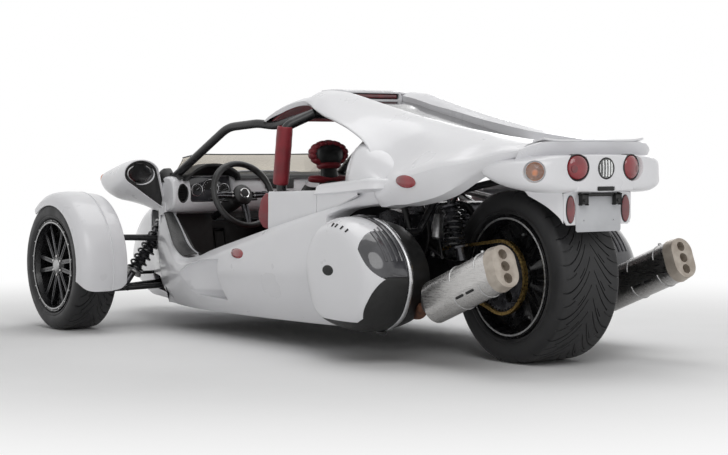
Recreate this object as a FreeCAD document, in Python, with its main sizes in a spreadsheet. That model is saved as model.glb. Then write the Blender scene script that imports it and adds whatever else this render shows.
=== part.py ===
"""Three-wheeled two-seat road car: two steered front wheels, one driven rear wheel.

Frame: +X forward, +Y left, +Z up, millimetres, origin on the ground below the middle of the car.
Stations along the car are written as distances ahead of the rear axle and placed by along().
"""
import FreeCAD
import Part
import Sketcher
import math
import os
from FreeCAD import Placement, Rotation, Vector

SIZES = (
    # alias, value in mm (or degrees), what it is
    ("wheelbase", 2286, "rear axle to front axle"),
    ("rear_axle_back", 1330, "origin back to the rear axle"),
    ("track_half", 882, "middle of the car to the middle of a front tyre"),
    ("front_tyre_radius", 295.5, "front tyre, outside"),
    ("front_tyre_width", 205, "front tyre, across the sidewalls"),
    ("front_bead_radius", 203.2, "front rim, where the tyre seats"),
    ("rear_tyre_radius", 332, "rear tyre, outside"),
    ("rear_tyre_width", 295, "rear tyre, across the sidewalls"),
    ("rear_bead_radius", 228.6, "rear rim, where the tyre seats"),
    ("tread_depth", 18, "tyre, thickness under the tread"),
    ("sidewall", 11, "tyre, thickness of the side"),
    ("lip_height", 11, "rim lip above the bead seat"),
    ("lip_thick", 11, "rim lip, along the axle"),
    ("rim_inset", 5, "rim edge inside the tyre's side"),
    ("rim_wall", 7, "rim barrel thickness"),
    ("spoke_width", 17, "one of a pair of spokes"),
    ("spoke_depth", 24, "spoke, along the axle"),
    ("hub_radius", 52, "wheel centre"),
    ("front_axle_radius", 18, "front spindle"),
    ("rear_axle_radius", 14, "rear axle"),
    ("bearing_gap", 0.05, "shaft to bore, on the radius"),
    ("disc_radius", 148, "front brake disc"),
    ("disc_thick", 10, "brake disc"),
    ("disc_out", 46, "brake disc, outboard of the kingpin"),
    ("kingpin_half", 800, "middle of the car to a kingpin"),
    ("lower_ball_up", 172, "lower ball joint above the ground"),
    ("upper_ball_up", 420, "upper ball joint above the ground"),
    ("arm_ahead", 125, "steering arm ahead of the kingpin"),
    ("arm_up", 246, "steering arm above the ground"),
    ("tie_gap", 0.5, "tie rod eye below the steering arm"),
    ("wishbone_radius", 13, "wishbone tube"),
    ("fender_gap", 22, "tyre to fender"),
    ("fender_wall", 7, "fender thickness"),
    ("clearance", 110, "ground to the floor of the car"),
    ("cabin_half", 450, "middle of the car to the outside of the tub wall"),
    ("tub_wall", 12, "tub wall and floor"),
    ("panel_gap", 0.3, "gap between bolted panels"),
    ("skin", 12, "body panel thickness"),
    ("tube_radius", 21, "frame tube"),
    ("seat_half", 200, "half the width of one seat"),
    ("seat_middle", 226, "middle of the car to the middle of a seat"),
    ("wheel_rim_radius", 152, "steering wheel, to the middle of its rim"),
    ("wheel_rim_thick", 14, "steering wheel rim, radius of its section"),
    ("column_tilt", 22, "steering column, degrees from level"),
    ("case_inner", 392, "side case, inner face from the middle of the car"),
    ("case_split", 520, "side case, parting plane from the middle of the car"),
    ("case_outer", 690, "side case, outer face from the middle of the car"),
    ("case_wall", 4, "side case shell"),
    ("pipe_middle", 440, "silencer axis from the middle of the car"),
    ("silencer_tall", 164, "silencer section, height"),
    ("silencer_wide", 112, "silencer section, width"),
    ("chain_clear", 18.5, "middle of the chain outside the rear tyre's side"),
    ("chain_line", "=rear_tyre_width / 2 + chain_clear", "chain from the middle of the car"),
    ("sprocket_radius", 132, "rear sprocket, tip of the teeth"),
    ("fork_clear", 24, "swingarm leg outside the chain's middle"),
    ("fork_half", "=chain_line + fork_clear", "swingarm leg, inner face from the middle of the car"),
    ("fork_wall", 34, "swingarm leg, thickness"),
    ("cradle_clear", 38, "middle of a cradle tube outside the swingarm leg"),
    ("pivot_half", 330, "middle of the car to the wishbones' pivots"),
    ("sleeve_wall", 6, "pivot sleeve over its wishbone tube"),
    ("sleeve_gap", 0.35, "pivot sleeve to the frame tube beside it"),
    ("wheel_behind", 138, "steering wheel behind the dashboard's bay"),
    ("rail_over_damper", 648.65, "tail rail above the ground over the rear damper"),
)

THIN = 0.65                # small frame tubes, share of the main tube's radius
DRAWN_WHEELBASE = 2286.0   # the stations below are drawn for this wheelbase
CABIN_REAR = 1000.0        # stations behind this one keep their distance from the rear axle
CABIN_FRONT = 1950.0       # stations ahead of this one keep their distance from the front axle
SIDES = (("left", 1), ("right", -1))

doc = FreeCAD.newDocument("three_wheeled_car")
sheet = doc.addObject("Spreadsheet::Sheet", "sizes")
for row, (alias, value, note) in enumerate(SIZES, 1):
    sheet.set("A%d" % row, note)
    sheet.set("B%d" % row, str(value))
    sheet.setAlias("B%d" % row, alias)
doc.recompute()


class Size:
    """A number together with the sheet expression that gives it."""

    def __init__(self, value, text):
        self.value = float(value)
        self.text = text

    def _join(self, other, sign, value):
        return Size(value, "(%s %s %s)" % (self.text, sign, as_size(other).text))

    def __add__(self, other):
        return self._join(other, "+", self.value + float(other))

    def __sub__(self, other):
        return self._join(other, "-", self.value - float(other))

    def __mul__(self, other):
        return self._join(other, "*", self.value * float(other))

    def __truediv__(self, other):
        return self._join(other, "/", self.value / float(other))

    def __radd__(self, other):
        return as_size(other) + self

    def __rsub__(self, other):
        return as_size(other) - self

    def __rmul__(self, other):
        return as_size(other) * self

    def __neg__(self):
        return Size(-self.value, "(0 - %s)" % self.text)

    def __float__(self):
        return self.value


def as_size(number):
    """The number as a Size; a plain one is its own expression."""
    if isinstance(number, Size):
        return number
    return Size(number, "(%s)" % repr(float(number)))


S = {alias: Size(getattr(sheet, alias), "sizes.%s" % alias) for alias, value, note in SIZES}
NODES = []


def keep(item, label):
    """Name a finished sub-part after its file and remember it for export."""
    item.Label = label
    NODES.append(item)
    return item


def feature(label, shape, place=None):
    """A sub-part whose shape is worked out with Part's own functions."""
    item = doc.addObject("Part::Feature", label)
    item.Shape = shape
    item.Placement = place or shape.Placement
    return keep(item, label)


def along(x):
    """Row X of a station x ahead of the rear axle; the cabin stretches with the wheelbase."""
    share = min(1.0, max(0.0, (x - CABIN_REAR) / (CABIN_FRONT - CABIN_REAR)))
    stretch = (float(S["wheelbase"]) - DRAWN_WHEELBASE) * share
    return x + stretch - float(S["rear_axle_back"])


def at(x, y, z):
    """A point at station x."""
    return Vector(along(x), y, z)


# ---------------------------------------------------------------- sketches and features

def origin_plane(body, role):
    """The body's own origin plane with this role."""
    return [item for item in body.Origin.OriginFeatures if item.Role == role][0]


def outline(body, role, name, loops):
    """A sketch of closed loops of straight lines; each corner is held by two named sizes."""
    sketch = body.newObject("Sketcher::SketchObject", name)
    sketch.AttachmentSupport = [(origin_plane(body, role), "")]
    sketch.MapMode = "FlatFace"
    first = 0
    for loop in loops:
        count = len(loop)
        for index, (a, b) in enumerate(zip(loop, loop[1:] + loop[:1])):
            start = Vector(float(a[0]), float(a[1]), 0)
            finish = Vector(float(b[0]), float(b[1]), 0)
            sketch.addGeometry(Part.LineSegment(start, finish), False)
        for index in range(count):
            following = first + (index + 1) % count
            sketch.addConstraint(Sketcher.Constraint("Coincident", first + index, 2, following, 1))
        for index, corner in enumerate(loop):
            for kind, size in zip(("DistanceX", "DistanceY"), corner):
                rule = Sketcher.Constraint(kind, -1, 1, first + index, 1, float(size))
                number = sketch.addConstraint(rule)
                if isinstance(size, Size):
                    sketch.setExpression("Constraints[%d]" % number, size.text)
        first += count
    return sketch


def circles(body, role, name, rounds):
    """A sketch of full circles, each (x, y, radius), radii bound to the sheet."""
    sketch = body.newObject("Sketcher::SketchObject", name)
    sketch.AttachmentSupport = [(origin_plane(body, role), "")]
    sketch.MapMode = "FlatFace"
    for index, (x, y, radius) in enumerate(rounds):
        middle = Vector(float(x), float(y), 0)
        sketch.addGeometry(Part.Circle(middle, Vector(0, 0, 1), float(radius)), False)
        number = sketch.addConstraint(Sketcher.Constraint("Radius", index, float(radius)))
        if isinstance(radius, Size):
            sketch.setExpression("Constraints[%d]" % number, radius.text)
        for kind, size in (("DistanceX", x), ("DistanceY", y)):
            number = sketch.addConstraint(Sketcher.Constraint(kind, -1, 1, index, 3, float(size)))
            if isinstance(size, Size):
                sketch.setExpression("Constraints[%d]" % number, size.text)
    return sketch


def bind(item, prop, size):
    """Set a length from a Size and keep it bound to the sheet."""
    size = as_size(size)
    setattr(item, prop, size.value)
    item.setExpression(prop, size.text)


def revolve(body, sketch, name):
    """A full turn of the sketch about its upright axis."""
    turn = body.newObject("PartDesign::Revolution", name)
    turn.Profile = sketch
    turn.ReferenceAxis = (sketch, ["V_Axis"])
    turn.Angle = 360
    doc.recompute()
    return turn


def ring_of(body, feature_item, count, name):
    """The feature repeated round the sketch's upright axis, which is the axle."""
    ring = body.newObject("PartDesign::PolarPattern", name)
    ring.Originals = [feature_item]
    axis = [item for item in body.Origin.OriginFeatures if item.Role == "Y_Axis"][0]
    ring.Axis = (axis, [""])
    ring.Angle = 360
    ring.Occurrences = count
    body.Tip = ring
    doc.recompute()
    return ring


def place(item, x, y, z, turn=None):
    """Put a sub-part at station x."""
    item.Placement = Placement(at(x, y, z), turn or Rotation())


# ---------------------------------------------------------------- solids by Part functions

def wire_of(points):
    """A closed wire of straight lines."""
    return Part.makePolygon(list(points) + [points[0]])


def rounded_wire(points, radius):
    """A closed wire whose corners are arcs of this radius, or of what their sides allow."""
    edges = []
    count = len(points)
    cuts = []
    for index, corner in enumerate(points):
        before = (points[index - 1] - corner)
        after = (points[(index + 1) % count] - corner)
        half = before.getAngle(after) / 2
        reach = min(radius / math.tan(half), 0.45 * before.Length, 0.45 * after.Length)
        start = corner + before.normalize() * reach
        finish = corner + after.normalize() * reach
        bisector = (before + after).normalize()
        bend = reach * math.tan(half)
        middle = corner + bisector * (bend / math.sin(half) - bend)
        cuts.append((start, middle, finish))
    for index, (start, middle, finish) in enumerate(cuts):
        edges.append(Part.Arc(start, middle, finish).toShape())
        edges.append(Part.makeLine(finish, cuts[(index + 1) % count][0]))
    return Part.Wire(edges)


def loft(wires, ruled=True):
    """A solid through closed wires."""
    return Part.makeLoft(wires, True, ruled)


def prism(points, direction):
    """A solid from a closed flat outline pushed along a vector."""
    return Part.Face(wire_of(points)).extrude(direction)


def slab(outline_xz, y_low, y_high):
    """A plate whose outline is stations and heights, between two widths."""
    points = [at(x, y_low, z) for x, z in outline_xz]
    return prism(points, Vector(0, y_high - y_low, 0))


def block(x_low, x_high, y_low, y_high, z_low, z_high):
    """A box between two stations."""
    corner = at(x_low, y_low, z_low)
    far = at(x_high, y_high, z_high)
    return Part.makeBox(far.x - corner.x, far.y - corner.y, far.z - corner.z, corner)


def rod(start, finish, radius):
    """A round bar between two points."""
    way = finish - start
    return Part.makeCylinder(radius, way.Length, start, way)


def tube_run(points, radius, bend):
    """A round bar along straight runs with tangent bends."""
    edges = []
    last = points[0]
    for before, corner, after in zip(points, points[1:], points[2:]):
        back = before - corner
        ahead = after - corner
        half = back.getAngle(ahead) / 2
        reach = min(bend / math.tan(half), 0.45 * back.Length, 0.45 * ahead.Length)
        bisector = back.normalize() + ahead.normalize()
        bisector.normalize()
        start = corner + back * reach
        finish = corner + ahead * reach
        arc_radius = reach * math.tan(half)
        middle = corner + bisector * (arc_radius / math.sin(half) - arc_radius)
        edges.append(Part.makeLine(last, start))
        edges.append(Part.Arc(start, middle, finish).toShape())
        last = finish
    edges.append(Part.makeLine(last, points[-1]))
    path = Part.Wire(edges)
    way = points[1] - points[0]
    profile = Part.Wire(Part.makeCircle(radius, points[0], way))
    return path.makePipeShell([profile], True, False)


def mirrored(shape):
    """The same shape on the other side of the car."""
    return shape.mirror(Vector(0, 0, 0), Vector(0, 1, 0))


def pair(shape):
    """Left and right copies, which do not touch."""
    return Part.makeCompound([shape, mirrored(shape)])


def fused(shapes):
    """One solid from several that touch."""
    return shapes[0].multiFuse(shapes[1:]).removeSplitter()


def welded(shapes):
    """Tubes joined one after another, which suits bends that end on the same line."""
    whole = shapes[0]
    for shape in shapes[1:]:
        whole = whole.fuse(shape)
    return whole


# ---------------------------------------------------------------- wheels

def make_tyre(label, radius, width, bead, x, y):
    """Tyre: a hollow carcass turned about the axle, square-shouldered."""
    body = doc.addObject("PartDesign::Body", label)
    half = width / 2
    shoulder = radius - 9
    step = S["lip_height"] + 2
    tuck = S["lip_height"] + 18
    seat = S["rim_inset"] + S["lip_thick"] + S["panel_gap"]
    bead = bead + S["panel_gap"]
    inner = S["sidewall"]
    section = [
        (bead, seat - half), (bead + step, seat - half), (bead + tuck, -half + 3),
        (shoulder - 28, -half), (shoulder, -half + 9),
        (radius, -half + 30), (radius, half - 30), (shoulder, half - 9), (shoulder - 28, half),
        (bead + tuck, half - 3), (bead + step, half - seat), (bead, half - seat),
        (bead, half - seat - inner),
        (bead + tuck, half - inner - 3), (radius - S["tread_depth"] - 12, half - inner),
        (radius - S["tread_depth"], half - inner - 18), (radius - S["tread_depth"], -half + inner + 18),
        (radius - S["tread_depth"] - 12, -half + inner), (bead + tuck, -half + inner + 3),
        (bead, -half + seat + inner),
    ]
    revolve(body, outline(body, "XY_Plane", label + "_section", [section]), label + "_carcass")
    keep(body, label)
    place(body, x, y, float(radius))
    return body


def make_rim(label, bead, width, tyre_radius, bore, face, hub_end, x, y, spin):
    """Rim: hub, six pairs of spokes and the barrel; face is the outer side, spin flips it."""
    body = doc.addObject("PartDesign::Body", label)
    half = width / 2 - S["rim_inset"]
    edge = half - S["lip_thick"]
    lip = bead + S["lip_height"]
    barrel_bore = bead - S["rim_wall"]
    hub = [
        (bore, hub_end), (S["hub_radius"], hub_end), (S["hub_radius"], face - 14),
        (S["hub_radius"] - 16, face), (bore, face),
    ]
    revolve(body, outline(body, "XY_Plane", label + "_hub_section", [hub]), label + "_hub")
    foot = S["hub_radius"] - 8
    spokes = []
    for side in (1, -1):
        near = 6 * side
        far = 27 * side
        spokes.append([
            (foot, near), (barrel_bore + 3, far), (barrel_bore + 3, far + S["spoke_width"] * side),
            (foot, near + (S["spoke_width"] + 3) * side),
        ])
    sketch = outline(body, "XZ_Plane", label + "_spoke_outline", spokes)
    arm = body.newObject("PartDesign::Pad", label + "_spokes")
    arm.Profile = sketch
    arm.SideType = "One side"
    bind(arm, "Length", S["spoke_depth"])
    sketch.AttachmentOffset = Placement(Vector(0, 0, -float(face - S["spoke_depth"] - 4)), Rotation())
    doc.recompute()
    arm.Reversed = True
    doc.recompute()
    ring_of(body, arm, 6, label + "_spoke_ring")
    barrel = [
        (bead, -edge), (lip, -edge), (lip, -half), (barrel_bore, -half),
        (barrel_bore - 6, -half + 40), (barrel_bore - 6, half - 30), (barrel_bore, half - 6),
        (lip - 3, half), (lip, edge), (bead, edge), (bead, edge - 22),
        (bead - 3, edge - 38), (bead - 3, 38 - edge), (bead, 22 - edge),
    ]
    section = outline(body, "XY_Plane", label + "_barrel_section", [barrel])
    revolve(body, section, label + "_barrel")
    keep(body, label)
    turn = Rotation(Vector(0, 0, 1), 0 if spin > 0 else 180)
    place(body, x, y, float(tyre_radius), turn)
    return body


def make_disc(label, radius, bore, thick, x, y, z):
    """Brake disc with a ring of cooling holes."""
    body = doc.addObject("PartDesign::Body", label)
    ring = [(bore, -thick / 2), (radius, -thick / 2), (radius, thick / 2), (bore, thick / 2)]
    revolve(body, outline(body, "XY_Plane", label + "_section", [ring]), label + "_plate")
    holes = circles(body, "XZ_Plane", label + "_hole", [(radius - 22, 0, 7)])
    drill = body.newObject("PartDesign::Pocket", label + "_drill")
    drill.Profile = holes
    drill.SideType = "Symmetric"
    bind(drill, "Length", thick * 3)
    doc.recompute()
    ring_of(body, drill, 12, label + "_holes")
    keep(body, label)
    place(body, x, y, z)
    return body


FRONT_X = DRAWN_WHEELBASE
front_r = float(S["front_tyre_radius"])
track = float(S["track_half"])
front_face = S["front_tyre_width"] / 2 - 28
for side, sign in SIDES:
    make_tyre("front_%s_tyre" % side, S["front_tyre_radius"], S["front_tyre_width"],
              S["front_bead_radius"], FRONT_X, sign * track)
    make_rim("front_%s_rim" % side, S["front_bead_radius"], S["front_tyre_width"],
             S["front_tyre_radius"], S["front_axle_radius"] + S["bearing_gap"], front_face,
             S["kingpin_half"] + S["disc_out"] + S["disc_thick"] / 2 + S["panel_gap"] - S["track_half"],
              FRONT_X, sign * track, sign)
    disc_y = float(S["kingpin_half"] + S["disc_out"])
    make_disc("front_%s_disc" % side, S["disc_radius"], S["front_axle_radius"] + 6,
              S["disc_thick"], FRONT_X, sign * disc_y, front_r)

make_tyre("rear_tyre", S["rear_tyre_radius"], S["rear_tyre_width"], S["rear_bead_radius"], 0, 0)
make_rim("rear_rim", S["rear_bead_radius"], S["rear_tyre_width"], S["rear_tyre_radius"],
         S["rear_axle_radius"] + S["bearing_gap"], as_size(70), as_size(-100), 0, 0, 1)


# ---------------------------------------------------------------- front corners

def make_knuckle(side, sign):
    """Upright with spindle, steering arm, caliper and the two legs that carry the fender."""
    king = sign * float(S["kingpin_half"])
    low = float(S["lower_ball_up"])
    high = float(S["upper_ball_up"])
    axle = front_r

    def out(distance):
        return king + sign * distance

    def plate(x_low, x_high, near, far, z_low, z_high):
        a, b = sorted((out(near), out(far)))
        return block(FRONT_X + x_low, FRONT_X + x_high, a, b, z_low, z_high)

    column = plate(-24, 24, -15, 15, low + 14, high - 14)
    boss = rod(at(FRONT_X, out(-8), axle), at(FRONT_X, out(34), axle), 40)
    spindle = rod(at(FRONT_X, out(30), axle), at(FRONT_X, out(150), axle), float(S["front_axle_radius"]))
    arm = plate(0, float(S["arm_ahead"]) + 14, -12, 6, float(S["arm_up"]), float(S["arm_up"]) + 16)
    legs = []
    for offset in (-78, 62):
        legs.append(plate(offset, offset + 16, -38.7, -30.7, axle - 8, axle + FENDER_R - 12))
    bridge = plate(-78, 78, -38.7, -30.7, axle - 30, axle + 2)
    joiner = plate(-22, 22, -32, -12, axle - 30, axle + 2)
    reach = float(S["disc_radius"])
    caliper = plate(reach - 42, reach + 26, 30, 62, axle - 46, axle + 46)
    slot = plate(reach - 60, reach + 12, 46 - 8, 46 + 8, axle - 60, axle + 60)
    caliper = caliper.cut(slot)
    hanger = plate(20, reach - 30, 18, 37, axle - 20, axle + 20)
    shape = fused([column, boss, spindle, arm, bridge, joiner, caliper, hanger] + legs)
    return feature("front_%s_knuckle" % side, shape)


def make_fender(side, sign):
    """Cycle fender: a rounded channel turned about the axle, open below the tyre's front."""
    inner = float(S["front_tyre_radius"] + S["fender_gap"])
    wall = float(S["fender_wall"])
    near = float(S["kingpin_half"]) - 46
    far = float(S["track_half"] + S["front_tyre_width"] / 2) + 5
    middle = at(FRONT_X, 0, front_r)
    crown = 16
    points = [
        (near, inner - 26), (near + wall, inner - 26), (near + wall, inner), (near + 26, inner + crown - 6),
        (far - 26, inner + crown - 6), (far - wall, inner), (far - wall, inner - 20), (far, inner - 20),
        (far, inner + wall - 2), (far - 24, inner + crown), (near + 24, inner + crown),
        (near, inner + wall - 2),
    ]
    start = math.radians(FENDER_START)
    profile = []
    for y, r in points:
        profile.append(middle + Vector(r * math.cos(start), y, r * math.sin(start)))
    face = Part.Face(wire_of(profile))
    shape = face.revolve(middle, Vector(0, -1, 0), FENDER_SWEEP)
    if sign < 0:
        shape = mirrored(shape)
    return feature("front_%s_fender" % side, shape)


FENDER_R = float(S["front_tyre_radius"] + S["fender_gap"])
FENDER_START = 52.0
FENDER_SWEEP = 146.0
for side, sign in SIDES:
    make_knuckle(side, sign)
    make_fender(side, sign)


BOX_FRONT = 2500           # station of the front box's front face
BOX_LOW = 190              # the front box's lower and upper tubes above the ground
BOX_HIGH = 405
BOX_HALF = float(S["pivot_half"] - S["wishbone_radius"] - S["sleeve_wall"] - S["sleeve_gap"]
                 - S["tube_radius"] * THIN)
DAMPER_FOOT = at(FRONT_X + 8, float(S["kingpin_half"]) - 188, 178.3)
DAMPER_TOP = at(FRONT_X + 8, 362.9, 510.6)


def make_wishbones():
    """Upper and lower A-arms, each a bent tube with a ball joint end and two pivot sleeves."""
    radius = float(S["wishbone_radius"])
    king = float(S["kingpin_half"])
    arms = []
    table = (
        # pivot half width, pivot height, ball height, pivot ahead, pivot behind, ball cup sign
        (float(S["pivot_half"]), BOX_LOW, float(S["lower_ball_up"]), 125, -80, 1),
        (float(S["pivot_half"]), BOX_HIGH, float(S["upper_ball_up"]), 115, -80, -1),
    )
    for pivot_y, pivot_z, ball_z, ahead, behind, cup in table:
        ball = at(FRONT_X, king - 34, ball_z)
        legs = []
        for offset in (ahead, behind):
            pivot = at(FRONT_X + offset, pivot_y, pivot_z)
            legs.append(rod(pivot, ball, radius))
            ends = (at(FRONT_X + offset - 22, pivot_y, pivot_z), at(FRONT_X + offset + 22, pivot_y, pivot_z))
            legs.append(rod(ends[0], ends[1], radius + float(S["sleeve_wall"])))
        legs.append(rod(ball, at(FRONT_X, king, ball_z), radius - 2))
        legs.append(rod(at(FRONT_X, king, ball_z - cup * 13), at(FRONT_X, king, ball_z + cup * 13.7), radius + 4))
        if cup > 0:
            legs.append(rod(at(FRONT_X - 42, DAMPER_FOOT.y, DAMPER_FOOT.z),
                            at(FRONT_X + 54, DAMPER_FOOT.y, DAMPER_FOOT.z), radius))
        arms.append(fused(legs))
    lower, upper = arms
    shapes = [lower, upper, mirrored(lower), mirrored(upper)]
    return feature("wishbones", Part.makeCompound(shapes))


make_wishbones()


def make_front_dampers():
    """The two front coil-overs, from the lower arms up to the frame."""
    way = DAMPER_TOP - DAMPER_FOOT
    way.normalize()
    gap = float(S["panel_gap"])
    low = DAMPER_FOOT + way * (float(S["wishbone_radius"]) + gap)
    high = DAMPER_TOP - way * (float(S["tube_radius"]) * THIN * 1.1 + gap * 2.5)
    sleeve = spring_body(low, high, 26, 5, 16)
    return feature("front_dampers", pair(sleeve))


def spring_body(bottom, top, coil_radius, wire, body_radius):
    """Damper body with its spring as a ribbed sleeve, one solid turned about its own line."""
    way = top - bottom
    length = way.Length
    rows = [(0, 0), (body_radius, 0), (body_radius, length * 0.2), (coil_radius + wire + 3, length * 0.2),
            (coil_radius + wire + 3, length * 0.23)]
    turns = 7
    step = length * 0.62 / turns
    for index in range(turns):
        base = length * 0.23 + step * index
        rows.append((coil_radius - wire, base))
        rows.append((coil_radius + wire, base + step * 0.5))
    rows += [(coil_radius - wire, length * 0.85), (coil_radius + wire + 3, length * 0.85),
             (coil_radius + wire + 3, length * 0.88), (body_radius * 0.5, length * 0.88),
             (body_radius * 0.5, length), (0, length)]
    profile = [Vector(r, 0, z) for r, z in rows]
    shape = Part.Face(wire_of(profile)).revolve(Vector(), Vector(0, 0, 1), 360)
    shape = Part.Solid(shape) if shape.ShapeType == "Shell" else shape
    turn = Rotation(Vector(0, 0, 1), way)
    shape.Placement = Placement(bottom, turn)
    return shape


make_front_dampers()
CRADLE_HALF = float(S["fork_half"] + S["fork_wall"] + S["cradle_clear"])
RAIL_END = CRADLE_HALF - 92  # half the width between the tail rails at the back
REAR_DAMPER_FOOT = at(190, float(S["fork_half"]) + 23, 387.6)
REAR_DAMPER_TOP = at(240, CRADLE_HALF - 21, float(S["rail_over_damper"] - S["tube_radius"] * THIN))
feature("rear_damper", spring_body(REAR_DAMPER_FOOT, REAR_DAMPER_TOP, 30, 6, 18))


def make_rack():
    """Rack bar with a tie rod to each steering arm, its eyes just below the arms."""
    eye_z = float(S["arm_up"] - S["tie_gap"])
    arm_x = FRONT_X + float(S["arm_ahead"])
    eye_y = float(S["kingpin_half"]) - 3
    bar = rod(at(arm_x, -300, eye_z - 9), at(arm_x, 300, eye_z - 9), 12)
    shapes = [bar]
    for side, sign in SIDES:
        shapes.append(rod(at(arm_x, sign * 290, eye_z - 9), at(arm_x, sign * eye_y, eye_z - 9), 8))
        shapes.append(rod(at(arm_x, sign * eye_y, eye_z - 18), at(arm_x, sign * eye_y, eye_z), 13))
    return feature("steering_rack", fused(shapes))


make_rack()

# ---------------------------------------------------------------- frame

HOOP_X = 881               # station of the roll hoop's feet
HOOP_BEND = 60
PILLAR_BEND = 240
HOOP_TOP = (1018, 360, 975)  # station, half width and height of the hoop's upper corner


def hoop_points(sign):
    """Half of the roll hoop, from its foot on the floor tube to the roof tube."""
    x, y, z = HOOP_TOP
    return [at(HOOP_X, sign * 420, 150), at(HOOP_X, sign * 420, 560), at(1092, sign * 478, 612),
            at(1062, sign * 478, 918), at(x, sign * y, z)]


def pillar_points(sign):
    """One windscreen pillar, from the tub's corner up and back to the hoop."""
    x, y, z = HOOP_TOP
    return [at(2100, sign * 466, 556), at(2108, sign * 462, 676), at(1640, sign * 414, 926),
            at(1420, sign * 392, 940), at(1310, sign * 366, 928), at(x, sign * y, z)]


def make_frame():
    """Space frame: floor rails, roll hoop, roof rails, engine cradle, tail and front boxes."""
    radius = float(S["tube_radius"])
    thin = radius * THIN
    runs = []
    floor = 150
    bracket = float(S["case_inner"]) + 58 - float(S["panel_gap"])
    for sign in (1, -1):
        runs.append((hoop_points(sign), radius, HOOP_BEND))
        runs.append((pillar_points(sign), radius * 0.9, PILLAR_BEND))
        runs.append(([at(HOOP_TOP[0], sign * 200, HOOP_TOP[2]), at(HOOP_TOP[0], sign * 200, 1044.2)], thin, 30))
        runs.append(([at(452, sign * (CRADLE_HALF + 4), 430), at(452, sign * bracket, 430)], thin, 30))
        runs.append(([at(300, sign * (CRADLE_HALF - 14), 638), at(300, sign * 340, 500),
                      at(300, sign * bracket, 500)], thin, 30))
        cradle = [at(HOOP_X, sign * CRADLE_HALF, floor), at(470, sign * CRADLE_HALF, 170),
                  at(436, sign * CRADLE_HALF, 420), at(480, sign * (CRADLE_HALF + 18), 602)]
        runs.append((cradle, thin, 60))
        upper = [at(1080, sign * 470, 640), at(760, sign * 372, 618), at(480, sign * (CRADLE_HALF + 8), 606),
                 at(-60, sign * (CRADLE_HALF - 57), 704), at(-150, sign * RAIL_END, 722)]
        runs.append((upper, thin, 90))
        start = 2128 + float(S["panel_gap"])
        front = [at(start, sign * BOX_HALF, BOX_LOW), at(BOX_FRONT, sign * BOX_HALF, BOX_LOW),
                 at(BOX_FRONT, sign * BOX_HALF, BOX_HIGH), at(start, sign * BOX_HALF, BOX_HIGH)]
        runs.append((front, thin, 30))
        foot = Vector(DAMPER_TOP.x, sign * BOX_HALF, BOX_LOW)
        top = Vector(DAMPER_TOP.x, sign * DAMPER_TOP.y, DAMPER_TOP.z)
        runs.append(([foot, foot + Vector(0, 0, BOX_HIGH - BOX_LOW), top], thin * 0.9, 40))
        eye = Vector(24, 0, 0)
        runs.append(([top + eye, top - eye], thin * 1.1, 40))
    x, y, z = HOOP_TOP
    runs.append(([at(x, -y, z), at(x, y, z)], radius, 30))
    runs.append(([at(HOOP_X, -420, floor), at(HOOP_X, 420, floor)], thin, 30))
    runs.append(([at(470, -CRADLE_HALF, 172), at(470, CRADLE_HALF, 172)], thin, 30))
    for height in (BOX_LOW, BOX_HIGH):
        runs.append(([at(BOX_FRONT, -BOX_HALF, height), at(BOX_FRONT, BOX_HALF, height)], thin, 30))
    runs.append(([at(-150, -RAIL_END, 722), at(-150, RAIL_END, 722)], thin, 30))
    return runs


def make_space_frame():
    """All the frame's tubes welded into one piece."""
    shapes = [tube_run(points, radius, bend) for points, radius, bend in make_frame()]
    return feature("space_frame", welded(shapes))


make_space_frame()

# ---------------------------------------------------------------- body shells

def ring_points(row):
    """A body section: an eight-cornered ring from half widths and heights."""
    x, low_y, low_z, mid_y, mid_z, top_y, top_z, crown_y, crown_z = row
    half = [(low_y, low_z), (mid_y, mid_z), (top_y, top_z), (crown_y, crown_z)]
    points = [at(x, y, z) for y, z in half]
    points += [at(x, -y, z) for y, z in reversed(half)]
    return points


def shrunk(row, wall):
    """The same section, smaller all round by the wall."""
    x, low_y, low_z, mid_y, mid_z, top_y, top_z, crown_y, crown_z = row
    return (x, low_y - wall, low_z + wall, mid_y - wall, mid_z, top_y - wall, top_z - wall,
            crown_y - wall * 0.5, crown_z - wall)


def smooth(rows, steps):
    """The rows with steps - 1 more between each two, on a curve through them."""
    whole = [rows[0]] + list(rows) + [rows[-1]]
    out = []
    for before, start, finish, after in zip(whole, whole[1:], whole[2:], whole[3:]):
        for step in range(steps):
            part = step / steps
            row = []
            for a, b, c, d in zip(before, start, finish, after):
                bend = (c - a) * part + (2 * a - 5 * b + 4 * c - d) * part ** 2
                row.append(b + 0.5 * (bend + (3 * b - a - 3 * c + d) * part ** 3))
            out.append(tuple(row))
    out.append(tuple(rows[-1]))
    return out


NOSE = (
    # station, floor half width and height, waist, shoulder, crown
    (3080, 60, 235, 95, 275, 80, 312, 40, 328),
    (2900, 190, 165, 245, 285, 215, 400, 110, 440),
    (2640, 270, 112, 335, 310, 315, 505, 190, 575),
    (2380, 330, 110, 402, 320, 385, 572, 260, 655),
    (2132, 420, 110, 505, 330, 478, 600, 330, 712),
)


def nose_solid(lift=0.0, side=0.0):
    """The nose's outside as one solid, moved up by lift and to the left by side."""
    shape = loft([wire_of(ring_points(row)) for row in smooth(NOSE, 3)])
    shape.translate(Vector(0, side, lift))
    return shape


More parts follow.
